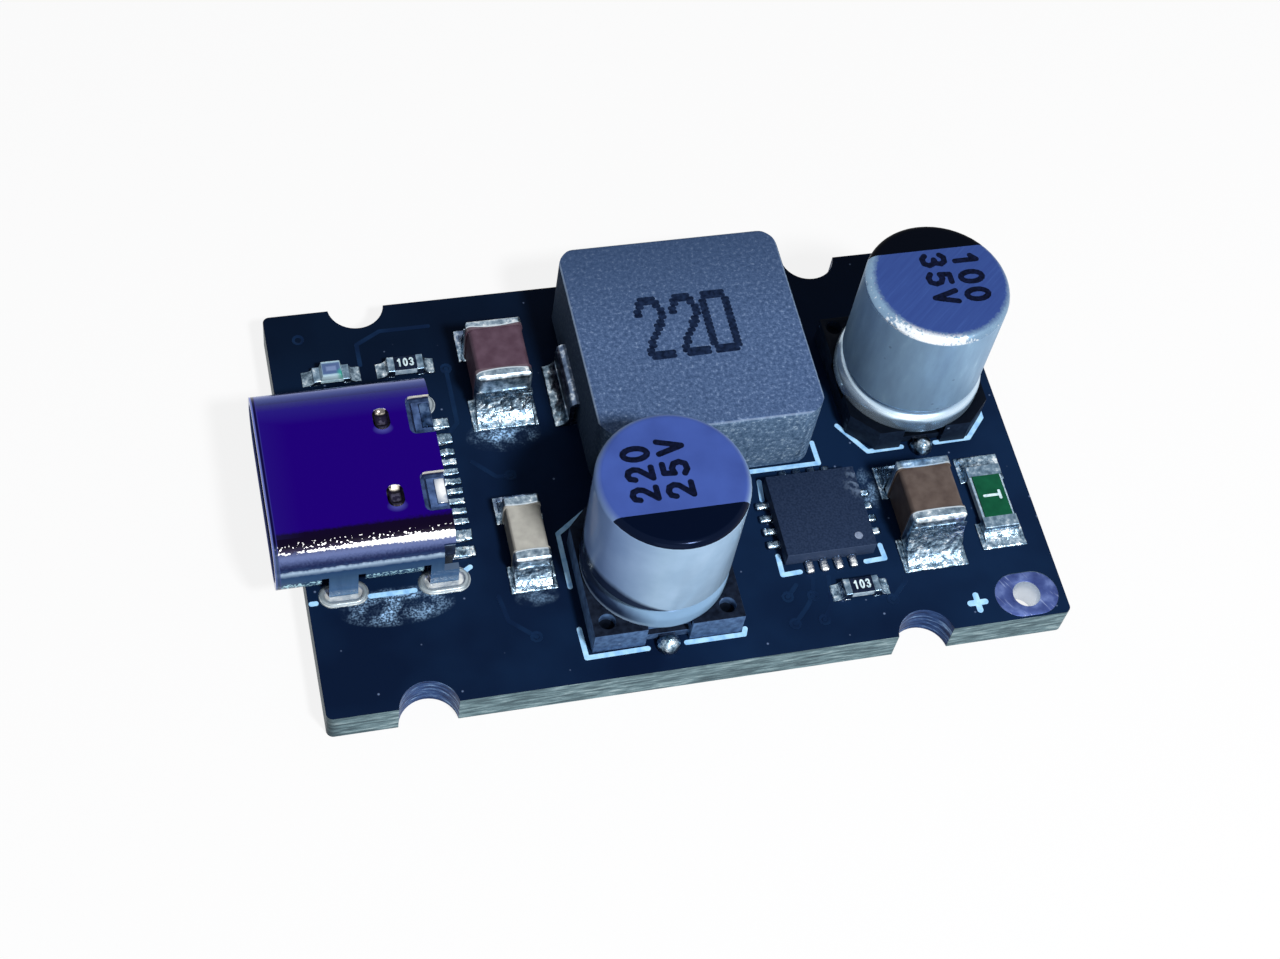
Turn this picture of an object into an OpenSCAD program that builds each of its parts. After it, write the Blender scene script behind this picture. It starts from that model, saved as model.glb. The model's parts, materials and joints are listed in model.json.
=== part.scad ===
// Step-down charging module: a small board with a USB-C receptacle on its left edge,
// two wire eyelets on its right edge and a soldered power stage between them.
// X runs from the receptacle to the eyelets, Y to the back, Z up from the board's underside.

/* [Board] */
// Thickness of the board
board_t = 1.6; // [1.4:0.1:2.4]
// Corner radius of the board outline
board_corner_r = 0.3; // [0.1:0.1:1]
// Strip between the output capacitor and the front edge
front_margin = 1.3; // [1.2:0.1:4]
// Strip between the inductor and the back edge
back_margin = 0.92; // [0.9:0.02:4]
// Strip between the fuse lands and the right edge
right_margin = 0.95; // [0.9:0.05:4]
// Thickness of the copper
copper_t = 0.06; // [0.04:0.01:0.1]

/* [Edge notches] */
// Radius of the half-round notches
notch_r = 1.25; // [0.8:0.05:1.4]
// Distance from the board edge out to a notch centre
notch_out = 0.15; // [0:0.05:0.4]
// Distance from the left edge to the left notches
left_notch_in = 4.15; // [3:0.05:5]
// Distance from the right edge to the right notches
right_notch_in = 6.6; // [5:0.05:7]

/* [Wire eyelets] */
// Bore of a wire eyelet
wire_hole_d = 1.2; // [0.8:0.1:1.4]
// Length of the oval eyelet pad
eyelet_l = 2.85; // [2.4:0.05:3.2]
// Width of the oval eyelet pad
eyelet_w = 2.1; // [1.8:0.05:2.3]
// Distance from an eyelet pad to the right edge
eyelet_edge_x = 0.28; // [0.2:0.02:1]
// Distance from an eyelet pad to the front or back edge
eyelet_edge_y = 0.1; // [0.1:0.02:0.5]

/* [USB shell] */
// Distance the mouth stands out past the left edge
usb_overhang = 1.25; // [0.6:0.05:1.6]
// Width of the shell
shell_w = 8.94; // [8.8:0.02:9.4]
// Height of the shell
shell_h = 3.16; // [3:0.02:3.6]
// Length of the shell's top
shell_l = 7.4; // [7.1:0.05:8]
// Thickness of the shell's sheet
shell_t = 0.3; // [0.2:0.02:0.32]
// Distance from the mouth to the middle of the front legs
front_leg_in = 2.75; // [2.4:0.05:3.1]
// Distance from the shell's rear to the middle of the rear legs
rear_leg_back = 0.45; // [0.3:0.05:0.6]
// Width of a leg
leg_w = 1.2; // [0.9:0.05:1.3]
// Depth of a leg below the board's top
leg_depth = 1.1; // [0.6:0.1:1.2]
// Width of the relief cut on each side of a leg
leg_relief = 0.3; // [0.1:0.05:0.4]
// Length by which the rear corners end short of the top
side_short = 0.5; // [0.3:0.05:0.6]
// Width of each rear window
window_w = 1.9; // [1.6:0.1:2.2]
// Depth of each rear window
window_l = 1.05; // [0.7:0.05:1.2]
// Distance from the shell's rear to the pressed dimples
dimple_back = 2.15; // [2.1:0.05:2.8]
// Distance of dimples and rear windows from the middle
dimple_y = 1.9; // [1.6:0.05:2.2]
// Radius of the dimple punch
dimple_r = 0.45; // [0.4:0.05:0.6]
// Depth of a dimple
dimple_depth = 0.18; // [0.1:0.02:0.24]

/* [USB inside] */
// Length of the housing's rear block, behind the plug cavity
block_l = 1.4; // [1.3:0.05:1.5]
// Distance from the mouth to the tongue's tip
tongue_in = 1.2; // [0.8:0.05:1.6]
// Width of the tongue
tongue_w = 6.69; // [6.6:0.01:6.8]
// Thickness of the tongue
tongue_t = 0.7; // [0.6:0.02:0.8]
// Spacing of the contacts
contact_pitch = 0.5; // [0.48:0.01:0.52]
// Width of a contact
contact_w = 0.25; // [0.2:0.01:0.27]
// Thickness of a contact
contact_t = 0.12; // [0.1:0.01:0.14]
// Distance the tails stand out behind the housing
tail_out = 0.85; // [0.7:0.05:1.2]
// Diameter of a locating peg
peg_d = 0.6; // [0.5:0.05:0.7]

/* [Electrolytic capacitors] */
// Diameter of a can
can_d = 6.3; // [5:0.1:8]
// Height of a can's top above the board
can_top = 7.8; // [5.4:0.1:12]
// Thickness of a can's wall
can_wall = 0.25; // [0.2:0.05:0.4]
// Rounding of a can's top edge
can_edge_r = 0.35; // [0.25:0.05:0.8]
// Height of the crimp groove above the board
crimp_z = 2.35; // [2.2:0.05:2.8]
// Depth of the crimp groove
crimp_depth = 0.25; // [0.1:0.01:0.3]
// Width of the crimp groove
crimp_w = 0.3; // [0.2:0.02:0.4]
// Distance the output can's crimped bead stands out past its wall
output_bead = 0; // [0:0.05:0.2]
// Distance the input can's crimped bead stands out past its wall
input_bead = 0.15; // [0:0.05:0.2]
// Distance a base stands out past its can
base_rim = 0.05; // [0.05:0.05:0.4]
// Height of a base's corner posts
post_h = 1.35; // [1.1:0.05:1.6]
// Height of a base's seat for its can
seat_h = 0.9; // [0.7:0.05:1]
// Width of the gap between two corner posts
post_gap = 1.9; // [1.4:0.1:2.4]
// Size of a base's chamfered corners
base_chamfer = 1.1; // [0.6:0.1:1.4]
// Spacing of a capacitor's leads
lead_spacing = 1.9; // [1.6:0.1:2.4]
// Width of a lead's flat foot
lead_w = 0.65; // [0.5:0.05:0.8]
// Thickness of a lead's flat foot
lead_t = 0.3; // [0.2:0.02:0.4]
// Distance a lead's foot stands out past its base
lead_out = 0.3; // [0.2:0.05:0.6]

/* [Inductor] */
// Side of the inductor's square body
inductor_side = 10; // [8:0.5:13]
// Height of the inductor's body
inductor_h = 4; // [3.5:0.1:6]
// Radius of the inductor's upright corners
inductor_corner_r = 1.1; // [0.6:0.1:1.5]
// Width of a terminal strap
strap_w = 3.2; // [2:0.1:4]
// Thickness of a terminal strap
strap_t = 0.2; // [0.12:0.02:0.3]
// Distance a strap stands out past the body
strap_out = 0.4; // [0.35:0.05:0.8]
// Height of a strap's top
strap_h = 1.6; // [1.4:0.1:2.2]
// Distance the inductor's land stands out past the strap
strap_land = 0.56; // [0.3:0.02:0.8]

/* [Controller] */
// Side of the controller's square body
controller_side = 4; // [3.6:0.1:5]
// Height of the controller's body
controller_h = 0.8; // [0.6:0.05:1]
// Spacing of the controller's leads
controller_pitch = 0.65; // [0.5:0.05:0.7]
// Width of a controller lead
controller_lead_w = 0.3; // [0.2:0.02:0.34]
// Distance a controller land stands out past the body
controller_land = 0.55; // [0.4:0.05:0.6]

/* [Chips] */
// Length of the large chips
large_chip_l = 3.2; // [3:0.1:3.6]
// Width of the output and input ceramics
power_ceramic_w = 2.5; // [2.2:0.1:2.8]
// Height of the output and input ceramics
power_ceramic_h = 2.35; // [1.6:0.05:2.6]
// Width of the bypass ceramic and the fuse
slim_chip_w = 1.6; // [1.4:0.1:1.8]
// Height of the bypass ceramic
bypass_h = 1.35; // [0.8:0.05:1.6]
// Height of the fuse
fuse_h = 0.5; // [0.4:0.05:0.7]
// Length of the small chips
small_chip_l = 1.6; // [1.5:0.1:1.8]
// Width of the small chips
small_chip_w = 0.8; // [0.7:0.05:0.9]
// Height of the resistors
resistor_h = 0.45; // [0.35:0.05:0.6]
// Height of the lamp's base
led_base_h = 0.3; // [0.25:0.05:0.4]
// Height of the lamp's lens
led_lens_h = 0.35; // [0.2:0.05:0.6]
// Thickness of a chip's metal ends
end_t = 0.05; // [0.04:0.01:0.08]
// Distance a large chip's land stands out past its end
large_land = 1.1; // [0.8:0.05:1.2]
// Distance a slim chip's land stands out past its end
slim_land = 0.76; // [0.6:0.02:1]
// Distance a small chip's land stands out past its end
small_land = 0.5; // [0.4:0.02:0.6]
// Distance a large or slim chip's land stands out past its sides
land_side = 0.2; // [0.1:0.02:0.3]
// Thickness of the solder under a piece
solder_t = 0.05; // [0.04:0.01:0.08]

/* [Layout gaps] */
// Gap from the receptacle's lands to the output ceramic's lands
usb_ceramic_gap = 1; // [0.9:0.05:3]
// Gap from the receptacle's lands to the bypass ceramic's lands
usb_bypass_gap = 1.12; // [0.9:0.02:3]
// Gap from the output ceramic's lands to the inductor's land
ceramic_inductor_gap = 0.66; // [0.5:0.02:3]
// Gap from the bypass ceramic's lands to the output capacitor
bypass_can_gap = 0.76; // [0.5:0.02:3]
// Gap from the output capacitor to the controller
can_controller_gap = 2.63; // [1.6:0.01:4]
// Gap from the controller to the input ceramic's lands
controller_ceramic_gap = 1.12; // [0.9:0.02:3]
// Gap from the input ceramic's lands to the fuse's lands
ceramic_fuse_gap = 0.87; // [0.5:0.01:3]
// Gap from the inductor's land to the input capacitor
inductor_can_gap = 0.85; // [0.5:0.05:3]
// Gap from the output capacitor to the inductor
can_inductor_gap = 1.38; // [1:0.02:3]
// Gap from the inductor to the controller
inductor_controller_gap = 0.99; // [0.9:0.01:2]
// Step of the input capacitor behind the inductor's front
input_can_step = 0.16; // [0:0.02:0.6]
// Gap from the input capacitor to the input ceramic's lands
can_ceramic_gap = 0.9; // [0.8:0.05:1.4]
// Gap from the input capacitor to the fuse's lands
can_fuse_gap = 1; // [0.8:0.05:1.4]
// Gap from the output ceramic's lands to the back edge
ceramic_back_gap = 1.9; // [1.4:0.1:2.4]
// Gap from the output ceramic's lands to the bypass ceramic's lands
ceramic_bypass_gap = 3.48; // [2.6:0.02:3.9]
// Gap from the receptacle's side to the lamp's middle
led_gap = 1.95; // [1.8:0.05:2.2]
// Distance from the mouth to the lamp's middle
led_in = 3.8; // [3.2:0.05:4]
// Gap between the lamp's land and its resistor's land
led_resistor_gap = 0.67; // [0.5:0.01:1]
// Gap from the controller to the signal resistor's land
controller_resistor_gap = 1.25; // [1:0.05:1.4]
// Shift of the signal resistor from the controller's middle
resistor_shift = 0.92; // [0.4:0.02:1]

/* [Hidden] */
$fn = 48;
// Overlap that lets a cut run clear through a face
cut = 1;
// Running clearance between moulded and drawn pieces
clearance = 0.03;
// Wall of a wire eyelet's barrel, and thickness of the plating in a leg's slot
eyelet_wall = 0.2;
plating_t = 0.05;

// Receptacle, measured from its mouth on the board's top
shell_mid = shell_h / 2;
leg_y = shell_w / 2 - shell_t / 2;
// Room round a leg in its slot, outward shift of the slot, and copper ring round it
slot_room = 0.4;
slot_shift = 0.1;
slot_ring = 0.25;
slot_w = shell_t + slot_room;
ring_r = slot_w / 2 + slot_ring;
front_slot_l = leg_w + slot_room;
rear_slot_l = leg_w + 1.3 * slot_room;
housing_l = shell_l;
cavity_l = housing_l - block_l;
rear_leg_in = shell_l - rear_leg_back;
shell_side_l = shell_l - side_short;
dimple_in = shell_l - dimple_back;
upper_drop = housing_l - 2 * contact_t;
lower_drop = housing_l - 4 * contact_t;
tail_end = housing_l + tail_out;
// Solder reaches this far past the tails
tail_toe = 0.25;
tail_land_end = tail_end + tail_toe;
peg_in = lower_drop - peg_d / 2 - clearance;
peg_y = 2.89;
peg_depth = 0.9;
// Setback of each blade's tip from the tongue's, the two outer pairs making contact first
blade_setbacks = [4 * contact_t, 4 * contact_t, 3 * contact_t, 3 * contact_t];
// Steps from the middle, in contact pitches
blade_steps = [0.5, 1.5, 2.5, 5.5];
upper_tail_steps = [0.5, 2.5, 4.6, 6.2];
lower_tail_steps = [1.5, 3.5, 5.2, 6.8];
narrow_land_steps = [0.5, 1.5, 2.5, 3.5];
wide_land_steps = [4.9, 6.5];

// Sizes of the soldered pieces
base_side = can_d + 2 * base_rim;
strap_side = inductor_side + 2 * strap_out;
power_ceramic = [large_chip_l, power_ceramic_w, power_ceramic_h];
bypass_size = [large_chip_l, slim_chip_w, bypass_h];
fuse_size = [large_chip_l, slim_chip_w, fuse_h];
resistor_size = [small_chip_l, small_chip_w, resistor_h];
led_size = [small_chip_l, small_chip_w, led_base_h];
power_land_w = power_ceramic_w + 2 * land_side;
slim_land_w = slim_chip_w + 2 * land_side;

// Places along X, counted from the receptacle's mouth
usb_lands_x = tail_land_end;
output_ceramic_u = usb_lands_x + usb_ceramic_gap + power_land_w / 2;
bypass_u = usb_lands_x + usb_bypass_gap + slim_land_w / 2;
inductor_land = strap_out + strap_land;
inductor_u = output_ceramic_u + power_land_w / 2 + ceramic_inductor_gap + inductor_land + inductor_side / 2;
output_can_u = bypass_u + slim_land_w / 2 + bypass_can_gap + base_side / 2;
controller_u = output_can_u + base_side / 2 + can_controller_gap + controller_side / 2;
input_ceramic_u = controller_u + controller_side / 2 + controller_ceramic_gap + power_land_w / 2;
fuse_u = input_ceramic_u + power_land_w / 2 + ceramic_fuse_gap + slim_land_w / 2;
input_can_u = inductor_u + inductor_side / 2 + inductor_land + inductor_can_gap + base_side / 2;
right_end_u = max(fuse_u + slim_land_w / 2, input_can_u + base_side / 2) + right_margin;

// The board wraps round what it carries
board_l = right_end_u - usb_overhang;
board_w = front_margin + base_side + can_inductor_gap + inductor_side + back_margin;
mouth_x = -board_l / 2 - usb_overhang;

// Places from the board's middle
output_can_at = [mouth_x + output_can_u, -board_w / 2 + front_margin + base_side / 2];
inductor_at = [mouth_x + inductor_u, board_w / 2 - back_margin - inductor_side / 2];
inductor_front = inductor_at.y - inductor_side / 2;
controller_at = [mouth_x + controller_u, inductor_front - inductor_controller_gap - controller_side / 2];
input_can_at = [mouth_x + input_can_u, inductor_front + input_can_step + base_side / 2];
input_can_front = input_can_at.y - base_side / 2;
large_land_half = large_chip_l / 2 + large_land;
slim_land_half = large_chip_l / 2 + slim_land;
small_land_half = small_chip_l / 2 + small_land;
output_ceramic_at = [mouth_x + output_ceramic_u, board_w / 2 - ceramic_back_gap - large_land_half];
bypass_at = [mouth_x + bypass_u, output_ceramic_at.y - large_land_half - ceramic_bypass_gap - slim_land_half];
input_ceramic_at = [mouth_x + input_ceramic_u, input_can_front - can_ceramic_gap - large_land_half];
fuse_at = [mouth_x + fuse_u, input_can_front - can_fuse_gap - slim_land_half];
led_at = [mouth_x + led_in, shell_w / 2 + led_gap];
led_resistor_at = [led_at.x + 2 * small_land_half + led_resistor_gap, led_at.y];
signal_resistor_at = [
    controller_at.x + resistor_shift,
    controller_at.y - controller_side / 2 - controller_resistor_gap - small_chip_w / 2
];
eyelet_x = board_l / 2 - eyelet_edge_x - eyelet_l / 2;
eyelet_y = board_w / 2 - eyelet_edge_y - eyelet_w / 2;
notch_xs = [-board_l / 2 + left_notch_in, board_l / 2 - right_notch_in];

// Shared shapes

// Flat rectangle about the origin with round corners
module rounded_square(size, r) {
    square([size.x - 2 * r, size.y], center = true);
    square([size.x, size.y - 2 * r], center = true);
    for (x = [-1, 1], y = [-1, 1])
        translate([x * (size.x / 2 - r), y * (size.y / 2 - r)])
            circle(r);
}

// Flat slot about the origin with full round ends, long along X
module slot_shape(l, w) {
    square([l - w, w], center = true);
    for (x = [-1, 1])
        translate([x * (l - w) / 2, 0])
            circle(d = w);
}

// Extrudes an outline drawn in Y and Z along +X
module along_x(l) {
    rotate([90, 0, 90])
        linear_extrude(l)
            children();
}

// Block on the ground with all its edges rounded
module soft_block(size, edge_r) {
    r = min(edge_r, 0.45 * min(size));
    intersection() {
        linear_extrude(size.z)
            rounded_square([size.x, size.y], r);
        translate([0, size.y / 2, size.z / 2])
            rotate([90, 0, 0])
                linear_extrude(size.y)
                    rounded_square([size.x, size.z], r);
        translate([-size.x / 2, 0, size.z / 2])
            along_x(size.x)
                rounded_square([size.y, size.z], r);
    }
}

// Sets a piece on the board's top
module on_board(at, turn = 0) {
    translate([at.x, at.y, board_t])
        rotate(turn)
            children();
}

// Sets a piece at the receptacle's mouth, on the board's top
module at_mouth() {
    translate([mouth_x, 0, board_t])
        children();
}

// Board

module at_eyelet(side) {
    translate([eyelet_x, side * eyelet_y, 0])
        children();
}

// Barrel and both oval pads of a wire eyelet, without the bore
module eyelet_blank() {
    cylinder(h = board_t, d = wire_hole_d + 2 * eyelet_wall);
    for (z = [0, board_t - copper_t])
        translate([0, 0, z])
            linear_extrude(copper_t)
                slot_shape(eyelet_l, eyelet_w);
}

module wire_eyelet() {
    difference() {
        eyelet_blank();
        translate([0, 0, -cut])
            cylinder(h = board_t + 2 * cut, d = wire_hole_d);
    }
}

// Sets a piece at each leg, moved outward by shift; $slot_l tells it the slot's length
module at_legs(shift = 0) {
    for (side = [-1, 1])
        at_mouth() {
            translate([front_leg_in, side * (leg_y + shift), 0]) {
                $slot_l = front_slot_l;
                children();
            }
            translate([rear_leg_in, side * (leg_y + shift), 0]) {
                $slot_l = rear_slot_l;
                children();
            }
        }
}

// Barrel and both rings of a plated slot, without the slot
module slot_blank() {
    translate([0, 0, -board_t])
        linear_extrude(board_t)
            slot_shape($slot_l + 2 * plating_t, slot_w + 2 * plating_t);
    for (z = [-board_t, -copper_t])
        translate([0, 0, z])
            linear_extrude(copper_t)
                slot_shape($slot_l + 2 * slot_ring, slot_w + 2 * slot_ring);
}

module slot_fill(h, drop) {
    translate([0, 0, -drop])
        linear_extrude(h)
            slot_shape($slot_l, slot_w);
}

module circuit_board() {
    color("#14213d")
        difference() {
            linear_extrude(board_t)
                rounded_square([board_l, board_w], board_corner_r);
            for (x = notch_xs, side = [-1, 1])
                translate([x, side * (board_w / 2 + notch_out), -cut])
                    cylinder(h = board_t + 2 * cut, r = notch_r);
            for (side = [-1, 1])
                at_eyelet(side)
                    eyelet_blank();
            at_legs(slot_shift)
                slot_blank();
            for (side = [-1, 1])
                at_mouth()
                    translate([peg_in, side * peg_y, -board_t - cut])
                        cylinder(h = board_t + 2 * cut, d = peg_d + 2 * clearance);
        }
}

module plus_eyelet() {
    color("#b9bcc6")
        at_eyelet(-1)
            wire_eyelet();
}

module minus_eyelet() {
    color("#b9bcc6")
        at_eyelet(1)
            wire_eyelet();
}

module shell_slot_plating() {
    color("#b9bcc6")
        at_legs(slot_shift)
            difference() {
                slot_blank();
                slot_fill(board_t + 2 * cut, board_t + cut);
            }
}

// USB receptacle

// Capsule along Y that presses the dimples
module dimple_punch(r) {
    span = 0.8 * dimple_r;
    rotate([90, 0, 0])
        cylinder(h = span, r = r, center = true);
    for (y = [-span / 2, span / 2])
        translate([0, y, 0])
            sphere(r);
}

// Flat leg with a narrowed tip, from the shell's mid-height down
module shell_leg() {
    tip = leg_w / 4;
    translate([0, shell_t / 2, 0])
        rotate([90, 0, 0])
            linear_extrude(shell_t)
                polygon([
                    [-leg_w / 2, shell_mid],
                    [-leg_w / 2, tip - leg_depth],
                    [tip - leg_w / 2, -leg_depth],
                    [leg_w / 2 - tip, -leg_depth],
                    [leg_w / 2, tip - leg_depth],
                    [leg_w / 2, shell_mid]
                ]);
}

module shell_tube() {
    difference() {
        along_x(shell_l)
            translate([0, shell_mid])
                slot_shape(shell_w, shell_h);
        translate([-cut, 0, 0])
            along_x(shell_l + 2 * cut)
                translate([0, shell_mid])
                    slot_shape(shell_w - 2 * shell_t, shell_h - 2 * shell_t);
        // Relief cuts round each leg take the lower corner away
        relief_w = leg_w + 2 * leg_relief;
        for (u = [front_leg_in, rear_leg_in], side = [-1, 1])
            translate([u - relief_w / 2, side * leg_y - shell_mid, -cut])
                cube([relief_w, shell_h, shell_mid + cut]);
        // Open floor where the housing stands on the board
        translate([cavity_l + shell_t, -leg_y, -cut])
            cube([shell_l, 2 * leg_y, shell_mid + cut]);
    }
}

module usb_shell() {
    punch_z = shell_h + dimple_r - dimple_depth;
    color("#9aa0b0")
        at_mouth()
            difference() {
                union() {
                    shell_tube();
                    for (u = [front_leg_in, rear_leg_in], side = [-1, 1])
                        translate([u, side * leg_y, 0])
                            shell_leg();
                    for (y = [-dimple_y, dimple_y])
                        intersection() {
                            translate([dimple_in, y, punch_z])
                                dimple_punch(dimple_r + shell_t);
                            translate([dimple_in - cut, y - cut, shell_h - 2 * shell_t])
                                cube([2 * cut, 2 * cut, 1.5 * shell_t]);
                        }
                }
                for (y = [-dimple_y, dimple_y]) {
                    translate([dimple_in, y, punch_z])
                        dimple_punch(dimple_r);
                    translate([shell_l + (cut - window_l) / 2, y, shell_mid])
                        linear_extrude(shell_h)
                            rounded_square([window_l + cut, window_w], shell_t);
                }
                // The rear corners end short of the top
                for (side = [-1, 1])
                    translate([shell_side_l, side * leg_y - shell_t, shell_mid - 2 * shell_t])
                        translate([0, min(0, side) * shell_t, 0])
                            cube([shell_l, 3 * shell_t, shell_mid]);
            }
}

// One contact strip: blade on the tongue, fan-out inside the housing, drop and tail
module contact_strip(blade_y, tail_y, z, drop, start) {
    half = contact_w / 2;
    translate([0, 0, z])
        linear_extrude(contact_t)
            polygon([
                [start, blade_y - half],
                [cavity_l + contact_t, blade_y - half],
                [drop, tail_y - half],
                [drop + contact_t, tail_y - half],
                [drop + contact_t, tail_y + half],
                [drop, tail_y + half],
                [cavity_l + contact_t, blade_y + half],
                [start, blade_y + half]
            ]);
    translate([drop, tail_y - half, 0])
        cube([contact_t, contact_w, z + contact_t]);
    translate([drop, tail_y - half, 0])
        cube([tail_end - drop, contact_w, contact_t]);
}

// A row of eight strips, four to each side of the middle
module contact_row(tail_steps, z, drop) {
    for (i = [0:len(blade_steps) - 1], side = [-1, 1])
        contact_strip(
            side * blade_steps[i] * contact_pitch,
            side * tail_steps[i] * contact_pitch,
            z, drop, tongue_in + blade_setbacks[i]
        );
}

module upper_row() {
    contact_row(upper_tail_steps, shell_mid + tongue_t / 2 - contact_t, upper_drop);
}

module lower_row() {
    contact_row(lower_tail_steps, shell_mid - tongue_t / 2, lower_drop);
}

// Latch recess in both edges of the tongue and its plate
module latch_recess() {
    recess_l = 0.8;
    recess_depth = 0.35;
    for (side = [-1, 1])
        translate([cavity_l / 2, side * tongue_w / 2 - recess_depth, shell_mid - tongue_t])
            cube([recess_l, 2 * recess_depth, 2 * tongue_t]);
}

module mid_plate_blank() {
    plate_w = tongue_w - 4 * contact_t;
    translate([tongue_in + 2 * contact_t, -plate_w / 2, shell_mid - contact_t / 2])
        cube([cavity_l - tongue_in, plate_w, contact_t]);
}

module usb_housing() {
    inner_w = shell_w - 2 * shell_t - 2 * clearance;
    inner_h = shell_h - 2 * shell_t - 2 * clearance;
    floor_w = 2 * (leg_y + slot_shift - ring_r - clearance);
    collar_l = 3 * shell_t;
    collar_t = tongue_t + 4 * contact_t;
    lug_room = 0.25;
    lug_w = window_w - 2 * lug_room;
    lug_l = window_l - 1.5 * lug_room;
    color("#23262e")
        at_mouth()
            difference() {
                union() {
                    // Rear block: round-ended above, square on the board below
                    translate([cavity_l, 0, shell_mid])
                        along_x(housing_l - cavity_l)
                            intersection() {
                                slot_shape(inner_w, inner_h);
                                translate([-inner_w / 2, 0])
                                    square([inner_w, inner_h]);
                            }
                    translate([cavity_l + shell_t + clearance, -floor_w / 2, 0])
                        cube([housing_l - cavity_l - shell_t - clearance, floor_w, shell_mid]);
                    translate([cavity_l, 0, shell_mid])
                        along_x(2 * shell_t)
                            slot_shape(inner_w, inner_h);
                    // Tongue with a round tip and a thicker collar at its root
                    translate([tongue_in, 0, shell_mid])
                        rotate([90, 0, 0])
                            linear_extrude(tongue_w, center = true) {
                                translate([tongue_t / 4, -tongue_t / 2])
                                    square([cavity_l - tongue_in, tongue_t]);
                                translate([0, -tongue_t / 4])
                                    square([tongue_t / 2, tongue_t / 2]);
                                for (z = [-1, 1])
                                    translate([tongue_t / 4, z * tongue_t / 4])
                                        circle(tongue_t / 4);
                            }
                    translate([cavity_l - collar_l, -tongue_w / 2, shell_mid - collar_t / 2])
                        cube([collar_l + shell_t, tongue_w, collar_t]);
                    // Lugs that fill the shell's rear windows
                    for (y = [-dimple_y, dimple_y])
                        translate([housing_l - window_l + lug_room, y - lug_w / 2, shell_mid])
                            cube([lug_l, lug_w, shell_mid - shell_t / 2]);
                    for (side = [-1, 1])
                        translate([peg_in, side * peg_y, -peg_depth])
                            cylinder(h = peg_depth + contact_t, d = peg_d);
                }
                upper_row();
                lower_row();
                latch_recess();
                mid_plate_blank();
            }
}

module usb_mid_plate() {
    color("#a9adb8")
        at_mouth()
            difference() {
                mid_plate_blank();
                latch_recess();
            }
}

module usb_upper_contacts() {
    color("#d8c27a")
        at_mouth()
            upper_row();
}

module usb_lower_contacts() {
    color("#d8c27a")
        at_mouth()
            lower_row();
}

// One rounded lump of solder over the tails on a land
module tail_lump(y, w) {
    lump_l = tail_land_end - housing_l - clearance;
    translate([housing_l + clearance + lump_l / 2, y, 0])
        soft_block([lump_l, w, 2 * contact_t], contact_t);
}

module usb_tail_solder() {
    color("#d5dae3")
        at_mouth()
            difference() {
                for (side = [-1, 1]) {
                    for (step = narrow_land_steps)
                        tail_lump(side * step * contact_pitch, 1.4 * contact_w);
                    for (step = wide_land_steps)
                        tail_lump(side * step * contact_pitch, 2.3 * contact_w);
                }
                upper_row();
                lower_row();
            }
}

// Solder that fills a slot round its leg, with a low rim on the copper ring
module leg_mound() {
    rise = 0.12;
    dish = 0.03;
    span = $slot_l - slot_w;
    top_r = ring_r - rise;
    slot_fill(board_t - shell_t + dish, board_t - shell_t);
    difference() {
        union() {
            for (x = [-span / 2, span / 2])
                translate([x, 0, 0])
                    cylinder(h = rise, r1 = ring_r, r2 = top_r);
            translate([-span / 2, 0, 0])
                along_x(span)
                    polygon([[-ring_r, 0], [ring_r, 0], [top_r, rise], [-top_r, rise]]);
        }
        slot_fill(cut, dish);
    }
}

module usb_leg_solder() {
    color("#d5dae3")
        difference() {
            at_legs(slot_shift)
                leg_mound();
            at_legs()
                shell_leg();
        }
}

// Electrolytic capacitors, about their own middle with the minus side to -Y

can_r = can_d / 2;
can_h = can_top - seat_h;
// The bead below the crimp groove ends here, and the straight wall above it starts here
bead_h = crimp_z - seat_h - crimp_w / 2;
wall_up = bead_h + crimp_w;
// Rounding of the bead, whose lip is curled in under the bung, and radius of the opening it leaves
curl_r = 0.45;
lip_r = can_r - 3 * can_wall;
bung_h = wall_up + 2 * can_wall;
// Diameter of the round part of a lead
wire_d = 0.5;

// Half section of a round slab from low to top, with both rims rounded
module slab_section(r, low, top, low_r, top_r) {
    h = top - low;
    translate([0, low]) {
        square([r - low_r, h / 2]);
        translate([0, low_r])
            square([r, h - low_r - top_r]);
        translate([0, h / 2])
            square([r - top_r, h / 2]);
        translate([r - low_r, low_r])
            circle(low_r);
        translate([r - top_r, h - top_r])
            circle(top_r);
    }
}

// Half section of the can's outside, shrunk all round by inset: bead, neck and straight wall
module can_section(inset, bead) {
    round_r = max(curl_r - inset, clearance);
    top_r = max(can_edge_r - inset, clearance);
    slab_section(can_r + bead - inset, inset, bead_h - inset, round_r, round_r);
    translate([0, inset])
        square([can_r - crimp_depth - inset, can_h / 2]);
    slab_section(can_r - inset, wall_up + inset, can_h - inset, top_r / 2, top_r);
}

module can_shell(bead) {
    translate([0, 0, seat_h])
        difference() {
            rotate_extrude()
                difference() {
                    can_section(0, bead);
                    can_section(can_wall, bead);
                }
            translate([0, 0, -cut])
                cylinder(h = cut + 2 * can_wall, r = lip_r);
        }
}

module can_bung(bead) {
    translate([0, 0, seat_h])
        difference() {
            rotate_extrude()
                intersection() {
                    union() {
                        can_section(can_wall + clearance, bead);
                        square([lip_r - clearance, bung_h]);
                    }
                    square([can_r + bead, bung_h]);
                }
            lead_wires(-cut, bung_h + cut, wire_d);
        }
}

module can_winding() {
    winding_h = can_h - bung_h - 2 * can_wall;
    winding_r = can_r - 1.5 * can_wall;
    translate([0, 0, seat_h + bung_h])
        difference() {
            cylinder(h = winding_h, r = winding_r);
            translate([0, 0, -cut])
                cylinder(h = winding_h + 2 * cut, r = winding_r / 6);
        }
}

module lead_wires(from, to, d) {
    for (side = [-1, 1])
        translate([0, side * lead_spacing / 2, from])
            cylinder(h = to - from, d = d);
}

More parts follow.
